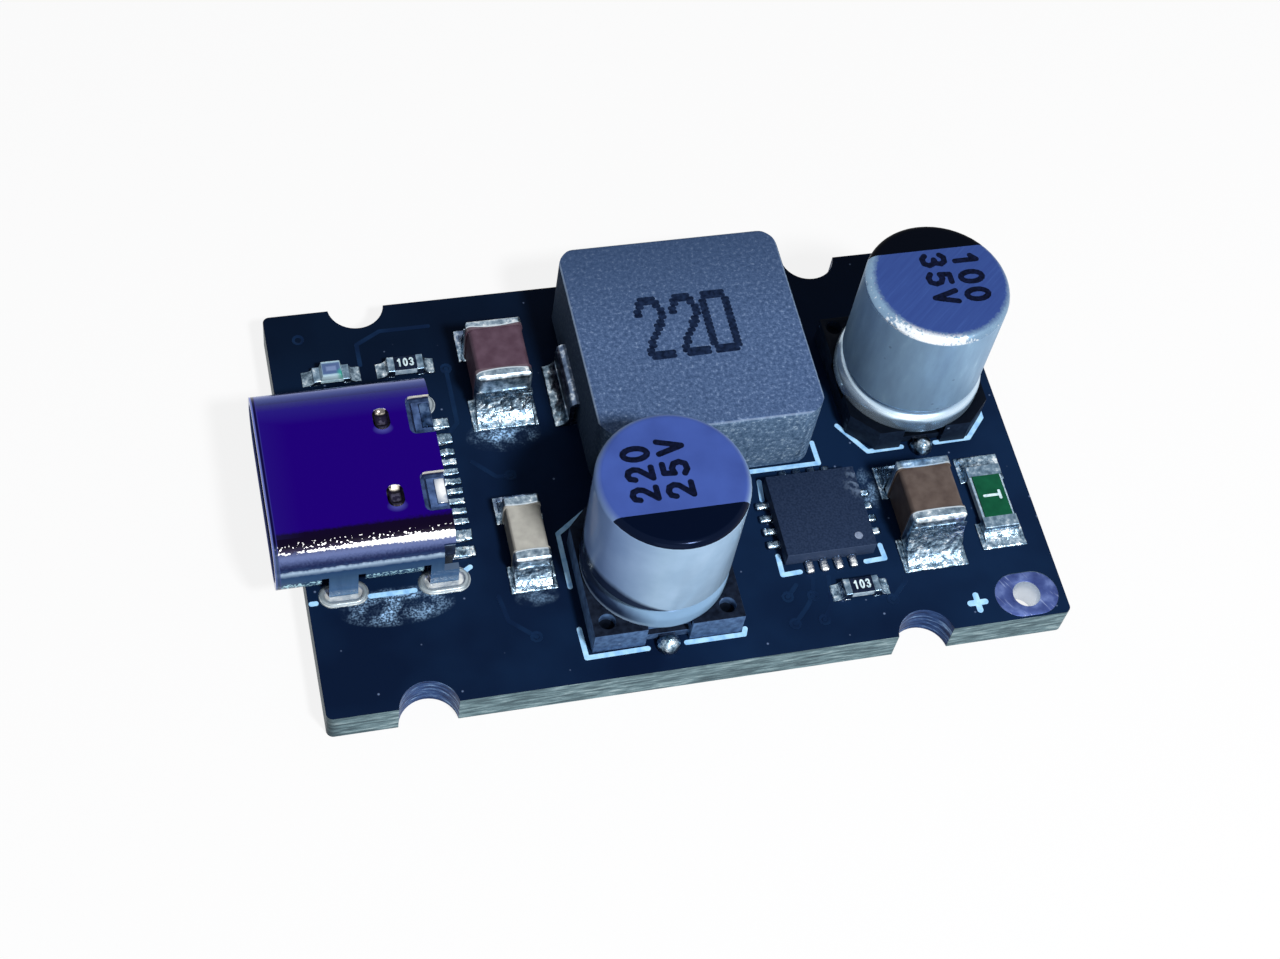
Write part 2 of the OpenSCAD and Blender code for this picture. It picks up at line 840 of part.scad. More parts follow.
module can_leads() {
    lead_wires(0, seat_h + bung_h, wire_d);
    foot_l = base_side / 2 + lead_out - lead_spacing / 2 + lead_w / 2;
    for (side = [-1, 1])
        translate([0, side * (lead_spacing / 2 - lead_w / 2 + foot_l / 2), lead_t / 2])
            cube([lead_w, foot_l, lead_t], center = true);
}

module can_base(bead) {
    half = base_side / 2;
    groove_w = lead_w + 2 * clearance;
    gap_depth = 0.25;
    seat_r = can_r + bead + clearance;
    // Round pit in each front post, a thin wall away from the seat
    pit_r = 0.057 * can_d;
    pit_at = (seat_r + pit_r + gap_depth / 3) / sqrt(2);
    difference() {
        linear_extrude(post_h)
            polygon([
                [-half, -half],
                [half, -half],
                [half, half - base_chamfer],
                [half - base_chamfer, half],
                [base_chamfer - half, half],
                [-half, half - base_chamfer]
            ]);
        translate([0, 0, seat_h])
            cylinder(h = post_h, r = seat_r);
        for (side = [-1, 1]) {
            // Gap between the posts, and the groove for the lead's foot
            translate([-post_gap / 2, side * half - 2 * gap_depth, lead_t + gap_depth / 2])
                cube([post_gap, 4 * gap_depth, post_h]);
            translate([-post_gap / 2, side * half - gap_depth, -cut])
                cube([post_gap, 2 * gap_depth, post_h + cut]);
            translate([-groove_w / 2, side * half - half, -cut])
                translate([0, side * (lead_spacing / 2 - lead_w / 2 - clearance), 0])
                    cube([groove_w, base_side, cut + lead_t + clearance]);
            translate([side * pit_at, -pit_at, seat_h])
                cylinder(h = post_h, r = pit_r);
        }
        lead_wires(-cut, seat_h + cut, wire_d + 2 * clearance);
    }
}

// Round solder drop over the end of each foot
module can_drops() {
    drop_r = 0.77 * lead_w;
    difference() {
        for (side = [-1, 1])
            intersection() {
                translate([0, side * (base_side + lead_out) / 2, lead_t / 2])
                    sphere(drop_r);
                translate([-drop_r, side * base_side - base_side / 2, 0])
                    cube([2 * drop_r, base_side, 2 * drop_r]);
            }
        can_leads();
    }
}

module output_can() { color("#8c9bb4") on_board(output_can_at) can_shell(output_bead); }
module output_winding() { color("#8b7f6a") on_board(output_can_at) can_winding(); }
module output_bung() { color("#2a2a2c") on_board(output_can_at) can_bung(output_bead); }
module output_base() { color("#15171c") on_board(output_can_at) can_base(output_bead); }
module output_leads() { color("#c3c7cf") on_board(output_can_at) can_leads(); }
module output_can_solder() { color("#d5dae3") on_board(output_can_at) can_drops(); }
module input_can() { color("#8c9bb4") on_board(input_can_at, 180) can_shell(input_bead); }
module input_winding() { color("#8b7f6a") on_board(input_can_at, 180) can_winding(); }
module input_bung() { color("#2a2a2c") on_board(input_can_at, 180) can_bung(input_bead); }
module input_base() { color("#15171c") on_board(input_can_at, 180) can_base(input_bead); }
module input_leads() { color("#c3c7cf") on_board(input_can_at, 180) can_leads(); }
module input_can_solder() { color("#d5dae3") on_board(input_can_at, 180) can_drops(); }

// Inductor

// Rounding of the top edges
inductor_edge_r = 0.2;
coil_r = 0.36 * inductor_side;
coil_z = 0.2 * inductor_h;
coil_top = 0.82 * inductor_h;
// Radius where a strap meets its coil wire, and length of its foot under the body
strap_root = coil_r + strap_t;
strap_foot = 2;

// Folded strap on the +X side: root in the body, bend, upright and foot under the body
module strap() {
    end = strap_side / 2;
    inner_r = strap_t / 2;
    translate([0, strap_w / 2, 0])
        rotate([90, 0, 0])
            linear_extrude(strap_w)
                difference() {
                    translate([0, strap_h / 2])
                        rounded_square([strap_side, strap_h], inner_r + strap_t);
                    translate([0, strap_h / 2])
                        rounded_square([strap_side - 2 * strap_t, strap_h - 2 * strap_t], inner_r);
                    translate([-end - cut, strap_h / 2])
                        square([end + cut + strap_root, strap_h]);
                    translate([-end - cut, -cut])
                        square([end + cut + inductor_side / 2 - strap_foot, strap_h / 2 + 2 * cut]);
                }
}

module straps() {
    strap();
    rotate(180)
        strap();
}

// Ring of turns with a flattened wire end to each strap, past the strap's root by reach
module coil_blank(reach = 0) {
    rotate_extrude()
        translate([coil_r / 2, coil_z])
            square([coil_r / 2, coil_top - coil_z]);
    tab_l = coil_r / 4 + reach;
    for (side = [-1, 1])
        translate([side * (strap_root + reach - tab_l / 2), 0, strap_h - strap_t / 2])
            cube([tab_l, strap_w / 2, strap_t], center = true);
}

module inductor_block() {
    side = inductor_side;
    intersection() {
        linear_extrude(inductor_h)
            rounded_square([side, side], inductor_corner_r);
        translate([-side / 2, 0, inductor_h / 2])
            along_x(side)
                rounded_square([side, inductor_h], inductor_edge_r);
        translate([0, side / 2, inductor_h / 2])
            rotate([90, 0, 0])
                linear_extrude(side)
                    rounded_square([side, inductor_h], inductor_edge_r);
    }
}

module inductor_body() {
    color("#545d70")
        on_board(inductor_at)
            difference() {
                inductor_block();
                straps();
                coil_blank(strap_t);
            }
}

module inductor_coil() {
    color("#b06a3a")
        on_board(inductor_at)
            coil_blank();
}

module inductor_terminals() {
    color("#b4b8c2")
        on_board(inductor_at)
            straps();
}

module inductor_solder() {
    color("#d5dae3")
        on_board(inductor_at)
            for (turn = [0, 180])
                rotate(turn)
                    translate([strap_side / 2, 0, 0])
                        solder_fillet(strap_land, strap_w, strap_h / 3, solder_t);
}

// Controller

// Length of a lead under the body, and thickness of the lead frame
lead_l = 0.45;
leadframe_t = 0.2;
heat_pad_side = 0.6 * controller_side;

module at_controller_leads() {
    for (turn = [0:90:270], i = [-1.5:1.5])
        rotate(turn)
            translate([controller_side / 2, i * controller_pitch, 0])
                children();
}

module leadframe_blank() {
    translate([0, 0, solder_t]) {
        at_controller_leads()
            translate([-lead_l, -controller_lead_w / 2, 0])
                cube([lead_l, controller_lead_w, leadframe_t]);
        translate([-heat_pad_side / 2, -heat_pad_side / 2, 0])
            cube([heat_pad_side, heat_pad_side, leadframe_t]);
    }
}

module controller_body() {
    color("#262b36")
        on_board(controller_at)
            difference() {
                translate([-controller_side / 2, -controller_side / 2, solder_t])
                    cube([controller_side, controller_side, controller_h]);
                leadframe_blank();
            }
}

module controller_leadframe() {
    color("#b4b8c2")
        on_board(controller_at)
            leadframe_blank();
}

module controller_solder() {
    color("#d5dae3")
        on_board(controller_at) {
            at_controller_leads() {
                translate([-lead_l, -controller_lead_w / 2, 0])
                    cube([lead_l, controller_lead_w, solder_t]);
                translate([controller_land / 2, 0, 0])
                    soft_block([controller_land, controller_lead_w, leadframe_t], 2 * solder_t);
            }
            translate([-heat_pad_side / 2, -heat_pad_side / 2, 0])
                cube([heat_pad_side, heat_pad_side, solder_t]);
        }
}

// Two-ended chips, long along X, standing on their solder

// Concave solder that leaves a flat edge and climbs to rise at x = 0
module solder_fillet(out, w, rise, edge) {
    steps = 8;
    translate([0, w / 2, 0])
        rotate([90, 0, 0])
            linear_extrude(w)
                polygon(concat(
                    [[0, 0], [out, 0]],
                    [for (i = [0:steps])
                        let (a = 90 * i / steps)
                        [out * (1 - sin(a)), edge + (rise - edge) * (1 - cos(a))]]
                ));
}

// Both metal ends, wrapped round the core
module chip_ends(size, end_l, edge_r) {
    translate([0, 0, solder_t])
        difference() {
            intersection() {
                soft_block(size, edge_r);
                for (side = [-1, 1])
                    translate([side * (size.x - end_l) / 2, 0, size.z / 2])
                        cube([end_l, 2 * size.y, 2 * size.z], center = true);
            }
            translate([0, 0, end_t])
                chip_core_block(size, edge_r);
        }
}

module chip_core_block(size, edge_r) {
    soft_block([size.x - 2 * end_t, size.y - 2 * end_t, size.z - 2 * end_t], edge_r);
}

module chip_core(size, edge_r) {
    translate([0, 0, solder_t + end_t])
        chip_core_block(size, edge_r);
}

// Lands of solder under both ends, with a fillet up each end face
module chip_solder(size, end_l, land, land_w, rise) {
    for (turn = [0, 180])
        rotate(turn) {
            translate([size.x / 2 - end_l, -land_w / 2, 0])
                cube([end_l + land, land_w, solder_t]);
            translate([size.x / 2, 0, solder_t])
                solder_fillet(land - solder_t, size.y, rise, solder_t / 2);
        }
}

// Rounding and length of the metal ends, by chip size
power_edge_r = 0.3;
slim_edge_r = 0.2;
small_edge_r = 0.06;
power_end_l = 0.55;
slim_end_l = 0.55;
fuse_end_l = 0.55;
small_end_l = 0.3;

module ceramic_body(at, size, edge_r) {
    on_board(at, 90)
        chip_core(size, edge_r);
}

module ceramic_ends(at, size, end_l, edge_r) {
    on_board(at, 90)
        chip_ends(size, end_l, edge_r);
}

module output_ceramic_body() {
    color("#5a3f45")
        ceramic_body(output_ceramic_at, power_ceramic, power_edge_r);
}
module output_ceramic_ends() {
    color("#c3c7cf")
        ceramic_ends(output_ceramic_at, power_ceramic, power_end_l, power_edge_r);
}
module output_ceramic_solder() {
    color("#d5dae3")
        on_board(output_ceramic_at, 90)
            chip_solder(power_ceramic, power_end_l, large_land, power_land_w, 0.7 * power_ceramic_h);
}

module bypass_ceramic_body() { color("#a6a39a") ceramic_body(bypass_at, bypass_size, slim_edge_r); }
module bypass_ceramic_ends() {
    color("#c3c7cf")
        ceramic_ends(bypass_at, bypass_size, slim_end_l, slim_edge_r);
}
module bypass_ceramic_solder() {
    color("#d5dae3")
        on_board(bypass_at, 90)
            chip_solder(bypass_size, slim_end_l, slim_land, slim_land_w, 0.7 * bypass_h);
}

module input_ceramic_body() {
    color("#5f504d")
        ceramic_body(input_ceramic_at, power_ceramic, power_edge_r);
}
module input_ceramic_ends() {
    color("#c3c7cf")
        ceramic_ends(input_ceramic_at, power_ceramic, power_end_l, power_edge_r);
}
module input_ceramic_solder() {
    color("#d5dae3")
        on_board(input_ceramic_at, 90)
            chip_solder(power_ceramic, power_end_l, large_land, power_land_w, 0.8 * power_ceramic_h);
}

// Thin coat on a chip's top between its ends, set in from both sides
module chip_coat(size, end_l, side_gap) {
    translate([0, 0, solder_t + size.z - end_t])
        soft_block([size.x - 2 * end_l, size.y - 2 * side_gap, 1.4 * end_t], end_t / 2);
}

module fuse_body() { color("#c7d0cc") on_board(fuse_at, 90) chip_core(fuse_size, small_edge_r); }
module fuse_coat() {
    color("#165a35")
        on_board(fuse_at, 90)
            chip_coat(fuse_size, fuse_end_l, 0.1 * slim_chip_w);
}
module fuse_ends() {
    color("#c3c7cf")
        on_board(fuse_at, 90)
            chip_ends(fuse_size, fuse_end_l, small_edge_r);
}
module fuse_solder() {
    color("#d5dae3")
        on_board(fuse_at, 90)
            chip_solder(fuse_size, fuse_end_l, slim_land, slim_land_w, 0.6 * fuse_h);
}

// Clear lens with sloping ends, cast on the lamp's base
module led_lens() {
    foot = small_chip_l - 2 * small_end_l;
    slope = led_lens_h / 4;
    color("#dfe9ea")
        on_board(led_at)
            translate([0, small_chip_w / 2, solder_t + led_base_h])
                rotate([90, 0, 0])
                    linear_extrude(small_chip_w)
                        polygon([
                            [-foot / 2, 0],
                            [foot / 2, 0],
                            [foot / 2 - slope, led_lens_h],
                            [slope - foot / 2, led_lens_h]
                        ]);
}

module led_base() { color("#d9e4df") on_board(led_at) led_base_block(); }

module led_base_block() {
    chip_core(led_size, small_edge_r);
    translate([0, 0, solder_t + 3 * led_base_h / 4])
        cube([small_chip_l - 2 * small_end_l, small_chip_w, led_base_h / 2], center = true);
}

module led_terminals() {
    color("#c9b98a")
        on_board(led_at)
            chip_ends(led_size, small_end_l, small_edge_r);
}
module led_solder() {
    color("#d5dae3")
        on_board(led_at)
            chip_solder(led_size, small_end_l, small_land, small_chip_w, 0.8 * led_base_h);
}

module resistor_solder(at) {
    color("#d5dae3")
        on_board(at)
            chip_solder(resistor_size, small_end_l, small_land, small_chip_w, 0.8 * resistor_h);
}

module led_resistor_body() {
    color("#d8dade")
        on_board(led_resistor_at)
            chip_core(resistor_size, small_edge_r);
}
module led_resistor_coat() {
    color("#14161b")
        on_board(led_resistor_at)
            chip_coat(resistor_size, small_end_l, end_t);
}
module led_resistor_ends() {
    color("#c3c7cf")
        on_board(led_resistor_at)
            chip_ends(resistor_size, small_end_l, small_edge_r);
}
module led_resistor_solder() { resistor_solder(led_resistor_at); }

module signal_resistor_body() {
    color("#d8dade")
        on_board(signal_resistor_at)
            chip_core(resistor_size, small_edge_r);
}
module signal_resistor_coat() {
    color("#14161b")
        on_board(signal_resistor_at)
            chip_coat(resistor_size, small_end_l, end_t);
}
module signal_resistor_ends() {
    color("#c3c7cf")
        on_board(signal_resistor_at)
            chip_ends(resistor_size, small_end_l, small_edge_r);
}
module signal_resistor_solder() { resistor_solder(signal_resistor_at); }

circuit_board();
plus_eyelet();
minus_eyelet();
shell_slot_plating();
usb_shell();
usb_housing();
usb_mid_plate();
usb_upper_contacts();
usb_lower_contacts();
usb_tail_solder();
usb_leg_solder();
output_can();
output_winding();
output_bung();
output_base();
output_leads();
output_can_solder();
input_can();
input_winding();
input_bung();
input_base();
input_leads();
input_can_solder();
inductor_body();
inductor_coil();
inductor_terminals();
inductor_solder();
controller_body();
controller_leadframe();
controller_solder();
output_ceramic_body();
output_ceramic_ends();
output_ceramic_solder();
bypass_ceramic_body();
bypass_ceramic_ends();
bypass_ceramic_solder();
input_ceramic_body();
input_ceramic_ends();
input_ceramic_solder();
fuse_body();
fuse_coat();
fuse_ends();
fuse_solder();
led_base();
led_lens();
led_terminals();
led_solder();
led_resistor_body();
led_resistor_coat();
led_resistor_ends();
led_resistor_solder();
signal_resistor_body();
signal_resistor_coat();
signal_resistor_ends();
signal_resistor_solder();
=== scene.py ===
import bpy
import json
import math
import re
from mathutils import Matrix, Vector

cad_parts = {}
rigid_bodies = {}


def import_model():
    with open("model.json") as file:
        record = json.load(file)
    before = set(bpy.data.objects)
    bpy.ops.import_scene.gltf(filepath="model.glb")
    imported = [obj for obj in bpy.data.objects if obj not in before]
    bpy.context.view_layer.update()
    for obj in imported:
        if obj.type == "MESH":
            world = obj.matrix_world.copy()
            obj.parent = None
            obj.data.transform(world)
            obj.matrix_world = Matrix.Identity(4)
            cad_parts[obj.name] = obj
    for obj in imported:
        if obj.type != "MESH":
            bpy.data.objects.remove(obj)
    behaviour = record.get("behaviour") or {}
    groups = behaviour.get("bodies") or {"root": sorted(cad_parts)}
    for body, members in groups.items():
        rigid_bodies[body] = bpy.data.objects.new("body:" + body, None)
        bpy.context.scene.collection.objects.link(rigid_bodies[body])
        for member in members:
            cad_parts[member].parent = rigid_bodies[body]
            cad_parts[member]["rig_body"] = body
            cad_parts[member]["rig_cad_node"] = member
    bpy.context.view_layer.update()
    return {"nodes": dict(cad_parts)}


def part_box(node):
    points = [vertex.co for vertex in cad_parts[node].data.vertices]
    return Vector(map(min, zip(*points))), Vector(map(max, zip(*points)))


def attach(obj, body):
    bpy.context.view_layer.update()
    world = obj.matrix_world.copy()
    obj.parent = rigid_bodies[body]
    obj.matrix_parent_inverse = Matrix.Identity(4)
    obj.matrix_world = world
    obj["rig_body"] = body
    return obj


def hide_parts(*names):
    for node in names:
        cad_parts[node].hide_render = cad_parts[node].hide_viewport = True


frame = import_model()


# Circuit board: glass-epoxy laminate routed to size, with four half-round notches.
# Both faces carry dark blue solder mask over the copper, and the routed edges are bare.
MM = 0.001
board_low, board_high = (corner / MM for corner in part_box("circuit_board"))
BOARD_TOP = board_high.z


def linear(code):
    """The linear colour of an sRGB hex code."""
    parts = [int(code[i:i + 2], 16) / 255 for i in (1, 3, 5)]
    return [c / 12.92 if c <= 0.04045 else ((c + 0.055) / 1.055) ** 2.4 for c in parts] + [1]


def start_finish(name, colour, rough, metal=0.0, gloss=0.5):
    """A finish with the values that are the same all over, and the place that its patterns read."""
    finish = bpy.data.materials.new(name)
    finish.use_nodes = True
    shader = finish.node_tree.nodes["Principled BSDF"].inputs
    shader["Base Color"].default_value = linear(colour)
    shader["Roughness"].default_value = rough
    shader["Metallic"].default_value = metal
    shader["Specular IOR Level"].default_value = gloss
    if not metal:
        shader["Specular Tint"].default_value = linear("#9db9f5")
    return finish, put(finish, "TexCoord", out="Object")


def put(finish, kind, *values, out=0, stops=(), **named):
    """Adds a node, sets it up, feeds its sockets in order or by name, and gives back what it puts out."""
    node = finish.node_tree.nodes.new("ShaderNode" + kind)
    sockets = dict(enumerate(values))
    for name, value in named.items():
        if name in node.inputs:
            sockets[name] = value
        else:
            setattr(node, name, value)
    for i, (place, colour) in enumerate(stops):
        stop = node.color_ramp.elements[i] if i < 2 else node.color_ramp.elements.new(place)
        stop.position = place
        stop.color = linear(colour)
    for socket, value in sockets.items():
        if isinstance(value, bpy.types.NodeSocket):
            finish.node_tree.links.new(value, node.inputs[socket])
        else:
            node.inputs[socket].default_value = linear(value) if isinstance(value, str) else value
    return [node.outputs[o] for o in out] if isinstance(out, tuple) else node.outputs[out]


def feed(finish, **sockets):
    """Links the shader's own sockets, named with _ for a space."""
    shader = finish.node_tree.nodes["Principled BSDF"].inputs
    for name, value in sockets.items():
        finish.node_tree.links.new(value, shader[name.replace("_", " ")])


def per(size):
    """The texture scale at which a pattern's marks are size millimetres apart."""
    return 1 / (size * MM)


def facing(finish, out):
    """The asked parts, X, Y or Z, of the way that the surface faces."""
    return put(finish, "SeparateXYZ", put(finish, "NewGeometry", out="Normal"), out=out)


def near(finish, place, centre, reach):
    """A factor that is 1 at a place on the part and falls to 0 at its reach, in millimetres."""
    away = put(finish, "VectorMath", place, Vector(centre) * MM, operation="SUBTRACT")
    away = put(finish, "VectorMath", away, [per(r) for r in reach], operation="MULTIPLY")
    away = put(finish, "VectorMath", away, out="Value", operation="LENGTH")
    return put(finish, "MapRange", away, 1, 0.3)


def shade(finish, tint, colour, by, start, end, share=1):
    """Blends a colour into a tint as a value runs from start to end, up to a share of it."""
    factor = put(finish, "MapRange", by, start, end, 0, share)
    return put(finish, "MixRGB", factor, tint, colour)


def dress(name, finish, sharp=35, broken=0.0, even=False):
    """Gives a solid its finish, smooth curves and, where asked, edges broken by some millimetres."""
    solid = frame["nodes"][name]
    solid.data.materials.clear()
    solid.data.materials.append(finish)
    bpy.context.view_layer.objects.active = solid
    bpy.ops.mesh.customdata_custom_splitnormals_clear()
    solid.data.polygons.foreach_set("use_smooth", [True] * len(solid.data.polygons))
    solid.modifiers.new("joined faces", "WELD").merge_threshold = 0.001 * MM
    if broken:
        flat = solid.modifiers.new("whole faces", "DECIMATE")
        flat.decimate_type = "DISSOLVE"
        flat.angle_limit = math.radians(1)
        edges = solid.modifiers.new("broken edges", "BEVEL")
        edges.width = broken * MM
        edges.segments = 2
        edges.angle_limit = math.radians(40)
    solid.modifiers.new("sharp edges", "EDGE_SPLIT").split_angle = math.radians(sharp)
    if even:
        solid.modifiers.new("even flats", "WEIGHTED_NORMAL").mode = "FACE_AREA_WITH_ANGLE"


# Epoxy solder mask: half-gloss navy in soft clouds, with painted shade deepening to the back, and specks of
# dust.
mask, place = start_finish("navy_solder_mask", "#0c1f3b", rough=0.35, gloss=0.03)
x, y = put(mask, "SeparateXYZ", place, out=("X", "Y"))
clouds = put(mask, "TexNoise", Vector=place, Scale=per(5), Detail=3)
navy = put(mask, "ValToRGB", clouds, stops=[(0.35, "#09162e"), (0.65, "#0f223e")])
# Painted shade deepens the navy towards the back.
navy = shade(mask, navy, "#040913", y, 1 * MM, 8 * MM, share=0.62)
dust = put(mask, "TexVoronoi", Vector=place, Scale=per(0.9), out="Distance")
navy = shade(mask, navy, "#8ea6cf", dust, 0.07, 0.03, share=0.4)
# Dried flux lies as frost in front of some joints: flecks 0.1 mm apart in drifts.
flecks = put(mask, "TexNoise", Vector=place, Scale=per(0.09), Detail=3)
drifts = put(mask, "TexNoise", Vector=place, Scale=per(0.7), Detail=3)
drifts = put(mask, "MapRange", drifts, 0.4, 0.62, 0.05, 1.3)
for centre, reach, most in [((-12.4, -5.3, BOARD_TOP), (2.5, 0.95, 1), 1.0),
                            ((-6.5, 2.4, BOARD_TOP), (1.7, 0.9, 1), 0.8),
                            ((-6.6, -5.75, BOARD_TOP), (1.0, 0.5, 1), 0.3),
                            ((8.85, -2.7, BOARD_TOP), (0.5, 1.2, 1), 0.45)]:
    fleck = put(mask, "MapRange", flecks, 0.44, 0.62, 0.1, most)
    frost = near(mask, place, centre, reach)
    frost = put(mask, "Math", frost, drifts, operation="MULTIPLY")
    frost = put(mask, "Math", frost, fleck, operation="MULTIPLY")
    navy = put(mask, "MixRGB", frost, navy, "#a5d0fb")
# Bare laminate on the routed edge: grey-green with fine pale streaks of glass.
along = put(mask, "VectorMath", place, (0.14, 0.14, 1), operation="MULTIPLY")
streaks = put(mask, "TexNoise", Vector=along, Scale=per(0.16), Detail=5, Roughness=0.65)
laminate = put(mask, "ValToRGB", streaks, stops=[
    (0.3, "#37474f"), (0.45, "#4f646b"), (0.57, "#6d858c"), (0.7, "#9fb2b6")])
# Painted shade darkens the edge at the left end of the board.
left_end_shade = put(mask, "MapRange", x, (board_low.x + 0.1) * MM, (board_low.x + 0.6) * MM, 0.75, 0.06)
laminate = put(mask, "MixRGB", left_end_shade, laminate, "#26343c")
# The notch walls were milled and wiped with mask, so they are dark and shiny, with painted highlights as
# pale streaks.
NOTCHES, NOTCH_HALF = (-11.85, 9.4), 1.3
left, right = (put(mask, "Math", x, middle * MM, NOTCH_HALF * MM, operation="COMPARE")
               for middle in NOTCHES)
side = put(mask, "Math", y, operation="ABSOLUTE")
inside = put(mask, "Math", side, (board_high.y - 0.02) * MM, operation="LESS_THAN")
notch = put(mask, "Math", left, right, operation="MAXIMUM")
notch = put(mask, "Math", notch, inside, operation="MULTIPLY")
milled = put(mask, "ValToRGB", streaks, stops=[
    (0.38, "#14264a"), (0.55, "#2f4a78"), (0.7, "#8fb0d4")])
laminate = put(mask, "MixRGB", notch, laminate, milled)
up = facing(mask, "Z")
up = put(mask, "Math", up, operation="ABSOLUTE")
face = put(mask, "Math", up, 0.5, operation="GREATER_THAN")
skin = put(mask, "MixRGB", face, laminate, navy)
height = put(mask, "MixRGB", face, streaks, clouds)
peel = put(mask, "Bump", Height=height, Strength=0.3, Distance=0.04 * MM)
feed(mask, Base_Color=skin, Normal=peel)
dress("circuit_board", mask)


# Copper tracks and vias: etched foil and plated holes, buried under the mask.
# They only show as low ridges and tented rings in the same dark blue.
def bar(start, end, width, low, high):
    """A flat round-ended bar between two places on the board, all in millimetres."""
    a, b = Vector((*start, (low + high) / 2)) * MM, Vector((*end, (low + high) / 2)) * MM
    bpy.ops.object.select_all(action="DESELECT")
    bpy.ops.mesh.primitive_cylinder_add(
        vertices=20, radius=width / 2 * MM, depth=(high - low) * MM, location=a)
    piece = bpy.context.object
    bpy.ops.object.transform_apply(location=True)
    pick(piece, lambda vertex: (vertex.co - a).dot(b - a) > 0)
    bpy.ops.transform.translate(value=b - a)
    bpy.ops.object.mode_set(mode="OBJECT")
    return piece


def pick(piece, test, faces=False):
    """Opens a piece in edit mode with the vertices or the faces selected that pass the test."""
    bpy.ops.object.mode_set(mode="EDIT")
    bpy.ops.mesh.select_mode(type="FACE" if faces else "VERT")
    bpy.ops.mesh.select_all(action="DESELECT")
    bpy.ops.object.mode_set(mode="OBJECT")
    for element in piece.data.polygons if faces else piece.data.vertices:
        element.select = test(element)
    bpy.ops.object.mode_set(mode="EDIT")


def dish(piece, *insets):
    """Sinks the top of a piece in steps, each an inset's width and its rise in millimetres."""
    pick(piece, lambda face: face.normal.z > 0.9, faces=True)
    for width, rise in insets:
        bpy.ops.mesh.inset(thickness=width * MM, depth=rise * MM)
    bpy.ops.object.mode_set(mode="OBJECT")


def trace(bars, routes, width, sunk, proud):
    """Adds bars on the board along each route, in three heights so that no two tops coincide."""
    for route in routes:
        for a, b in zip(route, route[1:]):
            top = BOARD_TOP + proud + 0.002 * (len(bars) % 3)
            bars.append(bar(a, b, width, BOARD_TOP - sunk, top))


def settle(pieces, name, finish, sharp=35):
    """Joins loose pieces into one named piece with its finish, riding on the module."""
    bpy.ops.object.select_all(action="DESELECT")
    for piece in pieces:
        piece.select_set(True)
    bpy.context.view_layer.objects.active = pieces[0]
    if len(pieces) > 1:
        bpy.ops.object.join()
    whole = bpy.context.object
    whole.name = name
    whole.data.materials.clear()
    whole.data.materials.append(finish)
    bpy.ops.object.shade_smooth_by_angle(angle=math.radians(sharp))
    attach(whole, "root")
    return whole


def mottled(name, colour, rough, size, detail, stops, **kind):
    """A finish whose tint only varies in soft patches, size millimetres apart."""
    finish, place = start_finish(name, colour, rough, **kind)
    patches = put(finish, "TexNoise", Vector=place, Scale=per(size), Detail=detail)
    feed(finish, Base_Color=put(finish, "ValToRGB", patches, stops=stops))
    return finish


# Mask over copper: the same navy, a shade lighter where the copper lies close under it.
ridge = mottled("mask_over_copper", "#10233f", rough=0.3, size=1.5, detail=2,
                stops=[(0.35, "#0c1c37"), (0.65, "#132947")], gloss=0.04)
tracks = []
trace(tracks, [
    [(-8.2, -5.5), (-8.0, -6.7), (-7.0, -7.6)],
    [(4.4, -6.9), (3.9, -7.4)],
    [(5.2, -6.7), (5.0, -7.5), (4.6, -8.0), (3.9, -8.7)],
    [(5.9, -6.7), (5.7, -8.0), (5.2, -8.7)],
    [(-8.1, 1.2), (-7.2, 0.3), (-6.6, 0.3)],
    [(-9.0, 2.6), (-8.4, 3.3), (-8.4, 6.2)],
    [(-12.1, 6.9), (-12.1, 8.0), (-11.0, 8.6), (-8.8, 8.6)],
    [(8.4, -8.2), (9.2, -7.4), (9.2, -7.1)],
], width=0.2, sunk=0.02, proud=0.008)
for centre in [(3.9, -7.4), (5.0, -7.5), (3.9, -8.7), (5.2, -8.7), (-7.0, -7.6), (-6.6, 0.3),
               (8.4, -8.2), (-8.4, 6.2), (7.6, 9.3), (-14.6, 8.6)]:
    via = bar(centre, centre, 0.54, BOARD_TOP - 0.02, BOARD_TOP + 0.018)
    dish(via, (0.1, 0), (0.05, -0.03))
    tracks.append(via)
settle(tracks, "board_tracks", ridge)


# Legend print: outlines and the plus and minus signs, screened on the mask in pale blue ink.
# The ink lies about 0.02 mm proud, with rounded ends where the stroke of the artwork ended.
# Screened ink: matt and pale, a little bluer where it lies thin.
ink = mottled("legend_ink", "#a3d0f4", rough=0.6, size=0.4, detail=3,
              stops=[(0.3, "#7fb3e4"), (0.6, "#aad8fb")], gloss=0.1)
strokes = []
trace(strokes, [
    [(-15.87, -4.68), (-15.68, -4.68)],
    [(-13.42, -4.68), (-11.58, -4.68)],
    [(-9.45, -4.12), (-9.12, -3.93)],
    [(-15.87, 4.68), (-15.68, 4.68)],
    [(-13.42, 4.68), (-11.58, 4.68)],
    [(-1.0, -1.06), (6.98, -1.06), (6.96, 0.02)],
    [(4.1, -1.62), (4.0, -2.55)],
    [(3.98, -5.4), (3.96, -6.33), (4.75, -6.3)],
    [(7.73, -6.23), (8.6, -6.2), (8.56, -5.54)],
    [(-5.18, -7.55), (-5.14, -8.9), (-2.53, -8.87)],
    [(-0.87, -8.85), (1.62, -8.85), (1.72, -8.6)],
    [(-5.15, -5.51), (-5.15, -2.9), (-3.86, -2.01)],
    [(8.32, 0.74), (9.35, -0.78), (10.94, -0.76)],
    [(12.52, -0.76), (14.12, -0.74), (15.04, 0.25), (15.06, 1.04)],
], width=0.22, sunk=0.01, proud=0.016)
trace(strokes, [
    [(11.68, -8.94), (12.36, -8.94)],
    [(12.02, -9.3), (12.02, -8.58)],
    [(13.65, 7.3), (14.35, 7.3)],
], width=0.27, sunk=0.01, proud=0.016)
settle(strokes, "board_legend", ink)
